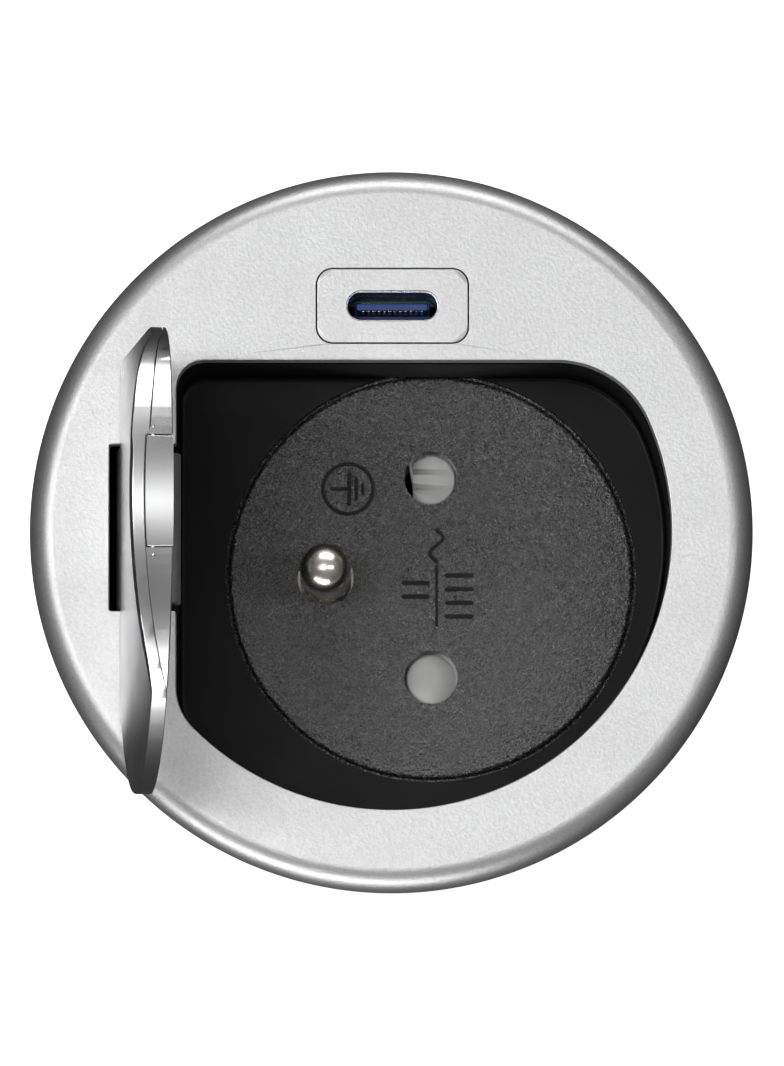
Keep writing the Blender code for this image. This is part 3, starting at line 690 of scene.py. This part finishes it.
other_side.data = contacts.data.copy()
other_side.name = "port_contacts_lower"
bpy.context.scene.collection.objects.link(other_side)
spun(other_side, Matrix.Translation((0, -0.7 * MM, 0)))

# %% [markdown]
# ## Plug well
#
# The well is a deep D-shaped cup moulded in black.  Its floor is a ledge round the socket,
# with a small round where floor and wall meet.  A pocket at the hinge side lets the lid's
# knuckle swing, and two lugs carry the hinge pin.

# %% Plug well
LEDGE = -14.4 * MM
WELL_LOW = -15.9 * MM
FLOOR_ROUND = 0.5 * MM
SOCKET = Vector(mm(3.8, -3.1))
SOCKET_R = 19.2 * MM
well = plate("well_cup", (well_outline(1.2 * MM), rounded_side(-0.3 * MM, WELL_LOW, 0.1 * MM, 0.3 * MM)))
join(
    well,
    turned("flange", [mm(0, -0.3), mm(27.6, -0.3), mm(27.6, -1.6), mm(0, -1.6)]),
    block("pocket_wall", mm(-25.6, -8.6, -5.4), mm(-20.6, 9.1, -1.0)),
)
for side in (-1, 1):
    near, far = sorted((HINGE.y + side * 8.2 * MM, HINGE.y + side * 10.1 * MM))
    join(well, block("lug", (-24.9 * MM, near, -1.2 * MM), (-21.3 * MM, far, 1.55 * MM), 0.3 * MM))
floor_round = [
    (FLOOR_ROUND * (1 - math.cos(a)), LEDGE + FLOOR_ROUND * (1 - math.sin(a)))
    for a in np.radians(range(0, 91, 15))
]
inside = [mm(-0.25, 3), mm(-0.25, -0.3), mm(-0.12, -0.36), mm(-0.03, -0.48), mm(0, -0.7)]
cut(
    well,
    plate("inside", (well_outline(-0.12 * MM), inside + floor_round)),
    block("pocket", (-30 * MM, NOTCH[1], -4.2 * MM), (-19.0 * MM, NOTCH[2], 3 * MM)),
    post("socket_seat", SOCKET, SOCKET_R + 0.3 * MM, -18 * MM, -14 * MM, count=256),
    block("port_slot", mm(-8.9, 17.6, -3), mm(9.1, 24.6, 1)),
    *[post("flange_hole", spot, SCREW_HOLE_R, -3 * MM, 1 * MM, count=24) for spot in SCREW_SPOTS],
)
ALONG_Y = Matrix.Rotation(math.radians(-90), 4, "X")


def rod_along_y(name, radius, x, z, start, end, count=48, edge=0.1 * MM):
    """A round rod lying along Y."""
    made = post(name, (0, 0), radius, start, end, edge, count)
    return spun(made, Matrix.Translation((x, 0, z)) @ ALONG_Y)


cut(well, rod_along_y("pin_bore", PIN_BORE_R, HINGE.x, HINGE.z, -12 * MM, 12 * MM))
attach(well, "housing", WELL_BLACK, "well_liner")

pin = rod_along_y("hinge_rod", 0.75 * MM, HINGE.x, HINGE.z, HINGE.y - 9.8 * MM, HINGE.y + 9.8 * MM)
attach(pin, "housing", STEEL, "hinge_pin")

# %% [markdown]
# ## Socket face
#
# The round face has two chamfered pin holes, a hole for the earth pin and a skirt below.
# Its raised markings are the earth sign, a wave for alternating current over a dividing
# bar, and plain bars where a rating would stand.

# %% Socket face
FACE = -15.0 * MM
FACE_T = 2.2 * MM
HOLES = [Vector((SOCKET.x, SOCKET.y + side * 9.5 * MM)) for side in (1, -1)]
EARTH = Vector((SOCKET.x - 10 * MM, SOCKET.y))
face_edge = rounded_side(FACE, FACE - 1.2 * MM, 0.4 * MM, 0.02 * MM, 6)
face_side = face_edge[:-5] + [mm(0, -16.2), mm(-1.4, -16.2), mm(-1.4, -17.2)]
hole_side = [(-0.28 * MM, FACE), (-0.20 * MM, FACE - 0.03 * MM), (-0.03 * MM, FACE - 0.16 * MM)]
hole_side += [(0, FACE - 0.28 * MM), (0, FACE - FACE_T)]
face_holes = [(circle(hole, 2.8 * MM, 96), hole_side) for hole in HOLES]
face_holes.append((circle(EARTH, 2.7 * MM, 96), rounded_side(FACE, FACE - FACE_T, 0.06 * MM)))
face = plate("socket_disc", (circle(SOCKET, SOCKET_R, 288), face_side), face_holes)
skirt_profile = [mm(18.9, -17.1), mm(18.9, -22.5), mm(17.6, -22.5), mm(17.6, -17.1)]
join(face, turned("skirt", fillet(skirt_profile, 0.1 * MM), SOCKET))
attach(face, "housing", SOCKET_GRAIN, "socket_face")


# %% Raised markings
MARK_HIGH = FACE + 0.16 * MM
MARK_SIDE = rounded_side(MARK_HIGH, FACE - 0.1 * MM, 0.06 * MM)


def stroke(points, width):
    """An outline round a line of points, with round ends."""
    line = [Vector(p) for p in points]
    half = width / 2
    left, right = [], []
    for i, here in enumerate(line):
        ahead = (line[min(i + 1, len(line) - 1)] - line[max(i - 1, 0)]).normalized()
        across = Vector((-ahead.y, ahead.x)) * half
        left.append(here + across)
        right.append(here - across)
    first = math.degrees(math.atan2(*(left[0] - line[0]).yx))
    last = math.degrees(math.atan2(*(right[-1] - line[-1]).yx))
    cap_start = arc(line[0], half, first, first + 180, 30)[1:-1]
    cap_end = arc(line[-1], half, last, last + 180, 30)[1:-1]
    return [tuple(p) for p in right] + cap_end + [tuple(p) for p in reversed(left)] + cap_start


SIGN = Vector(mm(-4.06, 5.34))
ring_outer, ring_inner = (circle(SIGN, radius, 96) for radius in mm(2.55, 2.2))
ring = plate("earth_sign_ring", (ring_outer, MARK_SIDE), [(ring_inner, MARK_SIDE)])
strokes = [
    (((-1.5, 0), (0.1, 0)), 0.36),
    (((0.1, -1.45), (0.1, 1.45)), 0.36),
    (((0.78, -0.95), (0.78, 0.95)), 0.3),
    (((1.38, -0.45), (1.38, 0.45)), 0.3),
]
marks = [ring]
for index, (points, width) in enumerate(strokes):
    line = [SIGN + Vector(p) * MM for p in points]
    marks.append(plate(f"earth_sign_{index}", (stroke(line, width * MM), MARK_SIDE)))
wave = [mm(4.34 + 0.62 * math.sin(2 * math.pi * t), 1.45 - 3.0 * t) for t in np.linspace(0, 1, 33)]
marks.append(plate("wave_sign", (stroke(wave, 0.34 * MM), MARK_SIDE)))
marks.append(plate("dividing_bar", (stroke([mm(4.34, -1.98), mm(4.34, -7.67)], 0.24 * MM), MARK_SIDE)))
for column, rows in ((2.35, (-3.6, -4.9)), (6.5, (-2.9, -4.2, -5.5, -6.8))):
    for index, y in enumerate(rows):
        line = [mm(column - 1.15, y), mm(column + 1.15, y)]
        marks.append(plate(f"rating_bar_{column:.0f}_{index}", (stroke(line, 0.42 * MM), MARK_SIDE)))
for mark in marks:
    attach(mark, "housing", BODY_BLACK)

# %% [markdown]
# ## Earth pin and shutter
#
# The earth pin is a polished rod with a domed end.  Under the pin holes lies one rotary
# shutter: two pads with ramps that face opposite ways, so that only two pins pushed in
# together can turn it aside.

# %% Earth pin
EARTH_R = 2.4 * MM
EARTH_TOP = -1.0 * MM
quarter = np.radians(np.linspace(0, 90, 31))
dome = [(EARTH_R * math.sin(a), EARTH_TOP - EARTH_R * (1 - math.cos(a))) for a in quarter]
collar = [(2.4, -23.5), (3.6, -23.5), (3.6, -25.0), (2.4, -25.0), (2.4, -33.0), (0, -33.0)]
earth_pin = turned("earth_rod", dome + [mm(*p) for p in collar], EARTH)
attach(earth_pin, "housing", NICKEL, "earth_pin")

# %% Rotary shutter
PLATE_HIGH, PLATE_LOW, PAD_HIGH, PAD_R = mm(-18.7, -19.9, -17.5, 2.37)


def arm(angle, left, right):
    """A flat arm of the shutter, about the socket's centre."""
    outline = arc(SOCKET, 12.9 * MM, angle - right, angle + left, 3)
    outline += arc(SOCKET, 2.0 * MM, angle + left, angle - right, 8)
    return plate("arm", (outline, rounded_side(PLATE_HIGH, PLATE_LOW, 0.1 * MM)))


def sloped_pad(centre, side):
    """A round pad, high on one side and sloping down to the arm on the other."""
    pad_side = rounded_side(PAD_HIGH, PLATE_HIGH - 0.5 * MM, 0.28 * MM, parts=5)
    made = plate("pad", (circle(centre, PAD_R, 64), pad_side))
    for vertex in made.data.vertices:
        if vertex.co.z > PLATE_HIGH:
            low_share = 0.5 - side * (vertex.co.x - centre.x) / (2 * PAD_R)
            share = (vertex.co.z - PLATE_HIGH) / (PAD_HIGH - PLATE_HIGH)
            vertex.co.z -= share * low_share * (PAD_HIGH - PLATE_HIGH - 0.05 * MM)
    return made


hub = [mm(3.0, -17.8), mm(3.0, -19.9), mm(1.65, -19.9), mm(1.65, -17.8)]
shutter = turned("shutter_disc", fillet(hub, 0.1 * MM), SOCKET)
upper_pad = sloped_pad(HOLES[0], 1)
trim_x = HOLES[0].x - 1.7 * MM
trim_low = (trim_x - 3 * MM, HOLES[0].y - 4 * MM, -21 * MM)
trim_high = (trim_x, HOLES[0].y + 4 * MM, -15 * MM)
cut(upper_pad, block("trim", trim_low, trim_high, 0.02 * MM))
join(shutter, arm(90, 11, 19), arm(270, 19, 19), upper_pad, sloped_pad(HOLES[1], -1))
attach(shutter, "rotary_shutter", SHUTTER_WHITE, "shutter")

# %% [markdown]
# ## Body and clamp under the desk
#
# The body is a tube with a 4 mm pitch thread.  The thread is a spiral with a small profile
# swept along it, made by a node tree.  A pressure ring and a ribbed nut ride on it.

# %% Body tube and thread
sleeve_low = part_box("body_sleeve")[0]
SLEEVE_R = 28.8 * MM
BOSS_AT = 26.0 * MM
BOSS_SPOTS = [(BOSS_AT * math.cos(a), BOSS_AT * math.sin(a)) for a in map(math.radians, (30, 150, 270))]
tube = [mm(29.5, -0.3), mm(29.5, -4.0), mm(28.8, -4.4)]
tube += [(SLEEVE_R, sleeve_low.z), (27.9 * MM, sleeve_low.z), mm(27.9, -0.3)]
sleeve = turned("body_tube", fillet([tube[5], *tube], 0.15 * MM)[1:], steps=192)
for spot in BOSS_SPOTS:
    join(sleeve, post("boss", spot, 2.2 * MM, sleeve_low.z + 0.1 * MM, -34 * MM, count=32))
    cut(sleeve, post("boss_hole", spot, SCREW_HOLE_R, sleeve_low.z - 1 * MM, -38 * MM, count=24))
attach(sleeve, "housing", BODY_BLACK, "body_sleeve")

thread_inputs = {"Radius": SLEEVE_R, "Pitch": 4 * MM, "Turns": 9.6, "Depth": 0.55 * MM}
tree, given, names = node_tree("thread", thread_inputs)
rise = wired(tree, "ShaderNodeMath", {"operation": "MULTIPLY"})
tree.links.new(given.outputs["Pitch"], rise.inputs[0])
tree.links.new(given.outputs["Turns"], rise.inputs[1])
spiral = wired(
    tree,
    "GeometryNodeCurveSpiral",
    Resolution=96,
    Rotations=given.outputs["Turns"],
    Start_Radius=given.outputs["Radius"],
    End_Radius=given.outputs["Radius"],
    Height=rise.outputs[0],
)
upright = wired(tree, "GeometryNodeSetCurveNormal", {"mode": "Z_UP"}, Curve=spiral.outputs["Curve"])
profile = wired(tree, "GeometryNodeCurvePrimitiveCircle", Resolution=8, Radius=given.outputs["Depth"])
swept = wired(
    tree, "GeometryNodeCurveToMesh", Curve=upright.outputs["Curve"], Profile_Curve=profile.outputs["Curve"]
)
swept.inputs["Fill Caps"].default_value = True
thread = grown_mesh("body_thread", tree, swept.outputs["Mesh"], BODY_BLACK, names, {"Turns": 9.6})
thread.data.transform(Matrix.Translation((0, 0, sleeve_low.z + 1.2 * MM)))
attach(thread, "housing", BODY_BLACK)

# %% Pressure ring and nut
ring_low, ring_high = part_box("pressure_ring")
ring_r = ring_high.x
NUT_BORE = 29.5 * MM
washer_profile = [(ring_r, ring_high.z), (ring_r, ring_low.z)]
washer_profile += [(NUT_BORE, ring_low.z), (NUT_BORE, ring_high.z)]
washer = turned("washer_ring", fillet(washer_profile + washer_profile[:1], 0.3 * MM)[:-1], steps=192)
attach(washer, "ring", BODY_BLACK, "pressure_ring")

nut_low, nut_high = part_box("clamp_nut")
NUT_R = 31.1 * MM
nut_outline = []
for angle in np.linspace(0, 360, 720, endpoint=False):
    from_groove = abs((angle + 15) % 30 - 15)
    depth = 0.5 * MM * (0.5 + 0.5 * math.cos(math.pi * min(from_groove / 5.5, 1)))
    turn = math.radians(angle)
    nut_outline.append(((NUT_R - depth) * math.cos(turn), (NUT_R - depth) * math.sin(turn)))
grip_top = nut_high.z - 1.5 * MM
nut_bore = circle((0, 0), NUT_BORE, 192)
nut = plate(
    "nut_ring",
    (nut_outline, rounded_side(grip_top, nut_low.z, 0.05 * MM, 0.4 * MM)),
    [(nut_bore, rounded_side(grip_top, nut_low.z, 0.05 * MM, 0.3 * MM))],
)
flange_side = rounded_side(nut_high.z, nut_high.z - 1.6 * MM, 0.25 * MM, 0.25 * MM)
join(nut, plate("nut_flange", (circle((0, 0), NUT_R, 288), flange_side), [(nut_bore, flange_side)]))
attach(nut, "nut", BODY_BLACK, "clamp_nut")

# %% [markdown]
# ## Cover, cable inlet and screws

# %% Cover and inlet
cover_low, cover_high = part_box("base_cover")
cover_r = cover_high.x
INLET_HOLE_R = 5.3 * MM
cover_profile = [(INLET_HOLE_R, cover_high.z), (cover_r, cover_high.z)]
cover_profile += [(cover_r, cover_low.z), (INLET_HOLE_R, cover_low.z)]
cover = turned("bottom_cover", fillet(cover_profile, 0.5 * MM), steps=192)
hole_low, hole_high = cover_low.z - 1 * MM, cover_high.z + 1 * MM
cut(cover, *[post("hole", spot, SCREW_HOLE_R, hole_low, hole_high, count=24) for spot in BOSS_SPOTS])
attach(cover, "housing", BODY_BLACK, "base_cover")

inlet_low, inlet_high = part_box("cable_inlet")
collar_z = cover_low.z - 0.3 * MM
inlet = [
    (5.0 * MM, inlet_high.z),
    (5.0 * MM, collar_z),
    (6.6 * MM, collar_z),
    (6.6 * MM, collar_z - 1.7 * MM),
    (5.4 * MM, inlet_low.z),
    (3.6 * MM, inlet_low.z),
    (3.6 * MM, inlet_high.z),
]
inlet_bush = turned("inlet_bush", fillet(inlet, 0.3 * MM), steps=96)
attach(inlet_bush, "housing", BODY_BLACK, "cable_inlet")


# %% Screws
def pan_screw(node, body):
    """A pan-head screw with a cross recess, standing for a CAD screw; its head is at the lower end."""
    low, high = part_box(node)
    centre = ((low.x + high.x) / 2, (low.y + high.y) / 2)
    head_r = (high.x - low.x) / 2
    shank_r = head_r / 2
    z = low.z
    profile = [(0, z), (head_r * 0.55, z + 0.04 * MM), (head_r * 0.9, z + 0.25 * MM)]
    profile += [(head_r, z + 0.6 * MM), (head_r, z + 0.9 * MM), (shank_r, z + 0.9 * MM)]
    profile += [(shank_r, high.z - 0.5 * MM), (0, high.z)]
    made = turned(node + "_turned", profile, centre, 48)
    for across in (0, 1):
        half = (1.0 * MM, 0.18 * MM) if across else (0.18 * MM, 1.0 * MM)
        near = (centre[0] - half[0], centre[1] - half[1], z - 0.5 * MM)
        far = (centre[0] + half[0], centre[1] + half[1], z + 0.5 * MM)
        cut(made, block("recess", near, far, 0.02 * MM))
    return attach(made, body, STEEL, node)


for node in sorted(frame["nodes"]):
    if node.startswith(("cover_screw", "bezel_screw", "terminal_screw")):
        pan_screw(node, "housing")

# %% [markdown]
# ## Lid
#
# The lid is drawn shut, where its outline is simply the opening's, and is then turned open
# about the hinge.  Its free side rises into a finger lip: past x = 18.9 mm every point is
# lifted in proportion to its distance, with a soft bend at the start.  A bright chamfer
# runs along the lip and dies away at both ends.

# %% Lid helpers
LID_LOW, LID_HIGH = 1.5 * MM, 3.0 * MM
RAMP_X, RAMP_SLOPE, RAMP_SOFT = 18.9 * MM, 0.375, 0.5 * MM


def ramp(x):
    """How far the lid has risen at x."""
    past = x - RAMP_X
    if past <= -RAMP_SOFT:
        return 0.0
    if past >= RAMP_SOFT:
        return RAMP_SLOPE * past
    return RAMP_SLOPE * (past + RAMP_SOFT) ** 2 / (4 * RAMP_SOFT)


def split(shape, axis, *places):
    """Give a shape's faces new edges at places along x (axis 0) or y (axis 1)."""
    across = [float(axis == 0), float(axis == 1), 0.0]
    for place in places:
        everything = shape.verts[:] + shape.edges[:] + shape.faces[:]
        at = [place * part for part in across]
        bmesh.ops.bisect_plane(shape, geom=everything, plane_co=at, plane_no=across, dist=1e-7)


def raised(shape, top_only=None):
    """Split a shape along the bend and lift it by the ramp; top_only lifts just what is above that height."""
    split(shape, 0, *[RAMP_X + past * MM for past in (-0.5, -0.25, 0, 0.25, 0.5, 2, 4, 6)])
    for vertex in shape.verts:
        if top_only is None or vertex.co.z > top_only:
            vertex.co.z += ramp(vertex.co.x)
    return shape


def clip(outline, axis, limit, side):
    """The part of an outline on one side of a line: side is 1 for above, -1 for below."""
    kept = []
    for here, after in zip(outline, outline[1:] + outline[:1]):
        inside = side * (here[axis] - limit) >= 0
        if inside:
            kept.append(tuple(here))
        if inside != (side * (after[axis] - limit) >= 0):
            share = (limit - here[axis]) / (after[axis] - here[axis])
            kept.append(tuple(a + (b - a) * share for a, b in zip(here, after)))
    return kept


OPEN_TURN = math.radians(-joints["lid_hinge"]["range_deg"][0])
OPEN_ROTATION = Matrix.Rotation(OPEN_TURN, 4, Vector(joints["lid_hinge"]["axis"]))
OPEN = Matrix.Translation(HINGE) @ OPEN_ROTATION @ Matrix.Translation(-HINGE)
print("the lid stands", round(math.degrees(OPEN_TURN)), "degrees open")


# %% Lid shell
def fade(value, start, end):
    """0 before start, 1 after end, smooth between."""
    share = min(max((value - start) / (end - start), 0), 1)
    return share * share * (3 - 2 * share)


lid_outline = well_outline(-0.22 * MM, tab=(-24.8 * MM, HINGE.y - 7.6 * MM, HINGE.y + 7.6 * MM))
chamfer = []
for x, y in lid_outline:
    along = fade(x, 15 * MM, 20 * MM) * fade(y, -19 * MM, -15 * MM)
    chamfer.append((0.12 + 0.36 * along * (1 - 0.65 * fade(y, 3.5 * MM, 5.5 * MM))) * MM)
chamfer = np.array(chamfer)
small = 0.05 * MM
lid_side = [
    (chamfer + 1.2 * small, LID_HIGH),
    (chamfer, LID_HIGH),
    (chamfer - 0.4 * small, LID_HIGH - 0.1 * small),
    (0.4 * small, LID_HIGH - 0.9 * chamfer),
    (0, LID_HIGH - chamfer - small),
    (0, LID_LOW + 2 * small),
    (0.6 * small, LID_LOW + 0.6 * small),
    (2 * small, LID_LOW),
    (3 * small, LID_LOW),
]


def thinning(x, y):
    """How much the shell's underside rises over the upper cheek."""
    if y < 5.22 * MM:
        return 0.0
    return (0.42 * fade(x, 12 * MM, 18 * MM) - 0.72 * fade(x, 19 * MM, 25.4 * MM)) * MM


shell_shape = plate_shape((lid_outline, lid_side))
split(shell_shape, 1, *mm(5.19, 5.24, 9, 13))
split(shell_shape, 0, *mm(12, 14, 16, 17.5))
raised(shell_shape)
for vertex in shell_shape.verts:
    if vertex.co.z - ramp(vertex.co.x) < LID_LOW + 3 * small:
        vertex.co.z += thinning(vertex.co.x, vertex.co.y)
lid_shell = finish_mesh("lid_plate", shell_shape)

# %% [markdown]
# The lid's back edge passes the bezel's edge as it swings.  A cutter turned about the hinge
# line hollows the back edge just enough; its radius follows the opening's outline.

# %% Back relief
def opening_left(y):
    """Where the opening's left edge runs at a given y."""
    corner = Vector((OPEN_LEFT + CORNERS["top_left"], OPEN_TOP - CORNERS["top_left"]))
    if y > corner.y:
        return corner.x - math.sqrt(CORNERS["top_left"] ** 2 - (y - corner.y) ** 2)
    radius = CORNERS["low_left"]
    corner = Vector((OPEN_LEFT + radius, -math.sqrt((OPEN_R - radius) ** 2 - (OPEN_LEFT + radius) ** 2)))
    if y > corner.y:
        return OPEN_LEFT
    if y > corner.y * OPEN_R / (OPEN_R - radius):
        return corner.x - math.sqrt(radius ** 2 - (y - corner.y) ** 2)
    return -math.sqrt(OPEN_R ** 2 - y ** 2)


for start, end in ((HINGE.y + 7.6 * MM, 15.9 * MM), (HINGE.y - 7.6 * MM, -22.8 * MM)):
    profile = [(0, start)]
    for y in np.linspace(start, end, 33):
        profile.append((math.hypot(opening_left(y) - HINGE.x, BEZEL_TOP - HINGE.z) + 0.06 * MM, y))
    relief = turned("relief", profile + [(0, end)])
    cut(lid_shell, spun(relief, Matrix.Translation((HINGE.x, 0, HINGE.z)) @ ALONG_Y))
LID_SCREWS = [(-17 * MM, HINGE.y + side * 4.5 * MM) for side in (-1, 1)]
cut(lid_shell, *[post("hole", spot, SCREW_HOLE_R, 0, 2.6 * MM, count=24) for spot in LID_SCREWS])
spun(lid_shell, OPEN)
attach(lid_shell, "lid", LID_MIRROR, "lid_shell")

# %% [markdown]
# Two cheeks fill the space under the lip, and between them hangs the cable flap on its own
# pin.  The cheeks' tops follow the ramp.

# %% Cheeks and cable flap
FLAP_HALF = 5.05 * MM
FLAP_PIN = mm(25.1, 3.3)
cheek_side = [(0, LID_HIGH), (0, LID_LOW + 0.12 * MM)]
cheek_side += [(0.04 * MM, LID_LOW + 0.03 * MM), (0.12 * MM, LID_LOW)]

for name, node, side, gap, start in (
    ("lid_cheek_top", "lid_cheek_upper", 1, 0.08 * MM, 14.6 * MM),
    ("lid_cheek_low", "lid_cheek_lower", -1, 0.02 * MM, 19.2 * MM),
):
    outline = clip(well_outline(-0.24 * MM), 0, start, 1)
    outline = clip(outline, 1, side * (FLAP_HALF + 0.14 * MM), side)
    shape = plate_shape((outline, cheek_side))
    split(shape, 0, *mm(16, 17.5))
    raised(shape, LID_HIGH - 0.1 * MM)
    for vertex in shape.verts:
        if vertex.co.z > LID_HIGH - 0.1 * MM:
            vertex.co.z += LID_LOW - LID_HIGH - gap + thinning(vertex.co.x, vertex.co.y)
            vertex.co.z = max(vertex.co.z, LID_LOW + 0.14 * MM)
    cheek = finish_mesh(name, shape)
    near, far = sorted((side * FLAP_HALF, side * 6.0 * MM))
    cut(cheek, rod_along_y("bore", 0.33 * MM, *FLAP_PIN, near, far, 24, 0.02 * MM))
    spun(cheek, OPEN)
    attach(cheek, "lid", LID_SATIN, node)

flap_x = FLAP_PIN[0] - 0.38 * MM
nose = arc(FLAP_PIN, 0.38 * MM, 90 + math.degrees(math.atan(RAMP_SLOPE)), 180, 10)
flap_view = [*nose, (flap_x, LID_LOW), (27 * MM, LID_LOW), (27 * MM, LID_LOW + ramp(27 * MM) - 0.09 * MM)]
flap = plate("flap_door", (flap_view, rounded_side(FLAP_HALF, -FLAP_HALF, 0.1 * MM, 0.1 * MM)))
spun(flap, Matrix.Rotation(math.radians(90), 4, "X"))
boolean(flap, "INTERSECT", post("end", (0, 0), OPEN_R - 0.25 * MM, -1 * MM, 6 * MM, count=720))
cut(flap, rod_along_y("bore", 0.29 * MM, *FLAP_PIN, -7 * MM, 7 * MM, 24, 0.02 * MM))
spun(flap, OPEN)
attach(flap, "flap", LID_SATIN, "cable_flap")

flap_rod = rod_along_y("flap_rod", 0.25 * MM, *FLAP_PIN, -5.9 * MM, 5.9 * MM, 24, 0.05 * MM)
attach(spun(flap_rod, OPEN), "lid", STEEL, "flap_pin")

# %% Hinge knuckle
KNUCKLE_TOP = LID_LOW - 0.3 * MM
KNUCKLE_HALF = 7.1 * MM
REACH = 3.2 * MM
edge = math.degrees(math.asin((KNUCKLE_TOP - HINGE.z) / REACH))
knuckle_view = arc((HINGE.x, HINGE.z), REACH, 180 - edge, 360 - 12, 4)
arm_low = HINGE.z - 0.6 * MM
knuckle_view += [(-19.3 * MM, arm_low), (-14.5 * MM, arm_low), (-14.5 * MM, KNUCKLE_TOP)]
knuckle_side = rounded_side(KNUCKLE_HALF - HINGE.y, -KNUCKLE_HALF - HINGE.y, 0.15 * MM, 0.15 * MM)
knuckle = plate("hinge_knuckle", (knuckle_view, knuckle_side))
spun(knuckle, Matrix.Rotation(math.radians(90), 4, "X"))
cut(knuckle, rod_along_y("bore", PIN_BORE_R, HINGE.x, HINGE.z, -12 * MM, 12 * MM))
cut(knuckle, *[post("hole", spot, SCREW_HOLE_R, -3 * MM, 3 * MM, count=24) for spot in LID_SCREWS])
attach(spun(knuckle, OPEN), "lid", LACQUER, "hinge_block")

# %% [markdown]
# ## Pieces kept as the CAD drew them
#
# What is sealed inside the body keeps its CAD shape and only gets a finish.

# %% Inner pieces
INNER = {
    "charger_board": BOARD_GREEN,
    "charger_transformer": TAPE,
    "charger_case": BODY_BLACK,
    "shutter_spring": STEEL,
    "contact_base": BODY_BLACK,
    "contact_upper": BRASS,
    "contact_lower": BRASS,
    "lid_screw_1": STEEL,
    "lid_screw_2": STEEL,
}
for node, material in INNER.items():
    mesh = frame["nodes"][node].data
    mesh.materials.clear()
    mesh.materials.append(material)
    print(node, "gets", material.name)

# %% [markdown]
# ## Stage and light
#
# A pale floor lies under the part.  It is kept out of reflections and bounced light, so that
# the bezel's rim stays dark.  Softboxes light the part from above: a tall narrow main one to
# the left, a long one behind, a low one in front, and two narrow strips whose reflections
# show in the polished pin.

# %% Stage
floor_mesh = bpy.data.meshes.new("floor")
reach = 1.5
corners = [(-reach, -reach, 0), (reach, -reach, 0), (reach, reach, 0), (-reach, reach, 0)]
floor_mesh.from_pydata(corners, [], [(0, 1, 2, 3)])
floor_mesh.transform(Matrix.Translation((0, 0, cad_box[0].z - 0.0002)))
floor = bpy.data.objects.new("floor", floor_mesh)
bpy.context.scene.collection.objects.link(floor)
paper = Finish("paper", (0.93, 0.93, 0.93), 0.8)
paper.shader.inputs["Emission Color"].default_value = (1, 1, 1, 1)
paper.shader.inputs["Emission Strength"].default_value = 0.75
floor_mesh.materials.append(paper.material)
floor.visible_glossy = False
floor.visible_diffuse = False
floor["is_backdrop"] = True


def softbox(name, place, size, power, aim=(0, 0, 0)):
    """A soft rectangular light turned towards a point."""
    light = bpy.data.lights.new(name, "AREA")
    light.shape = "RECTANGLE"
    light.size, light.size_y = size
    light.energy = power
    made = bpy.data.objects.new(name, light)
    made.location = place
    made.rotation_euler = (Vector(aim) - Vector(place)).to_track_quat("-Z", "Y").to_euler()
    bpy.context.scene.collection.objects.link(made)
    return made


softbox("main_box", (-0.48, 0.06, 1.35), (0.22, 0.8), 6.0)
softbox("back_box", (0.1, 1.1, 0.75), (1.2, 0.5), 9)
softbox("front_box", (-0.3, -1.1, 0.35), (1.2, 0.4), 9)
softbox("left_strip", (-0.16, 0.0, 0.8), (0.05, 0.35), 0.35)
softbox("right_strip", (0.3, 0.0, 0.75), (0.05, 0.35), 0.6)

world = bpy.data.worlds.new("studio")
bpy.context.scene.world = world
world.use_nodes = True
tree = world.node_tree
background = tree.nodes["Background"]
direction = tree.nodes.new("ShaderNodeTexCoord")
split = tree.nodes.new("ShaderNodeSeparateXYZ")
tree.links.new(direction.outputs["Generated"], split.inputs["Vector"])
height = tree.nodes.new("ShaderNodeValToRGB")
height.color_ramp.elements[0].position = 0.0
height.color_ramp.elements[0].color = (0.02, 0.02, 0.02, 1)
height.color_ramp.elements[1].position = 0.9
height.color_ramp.elements[1].color = (0.2, 0.2, 0.2, 1)
tree.links.new(split.outputs["Z"], height.inputs["Fac"])
tree.links.new(height.outputs["Color"], background.inputs["Color"])
bpy.context.scene.view_settings.view_transform = "Standard"
print("stage and lights set")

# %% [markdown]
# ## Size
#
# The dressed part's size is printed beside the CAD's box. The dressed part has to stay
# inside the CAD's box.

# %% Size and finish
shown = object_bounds()
for label, box in (("CAD", cad_box), ("shown", shown)):
    print(label, [round((b - a) / MM, 2) for a, b in zip(*box)], "mm")
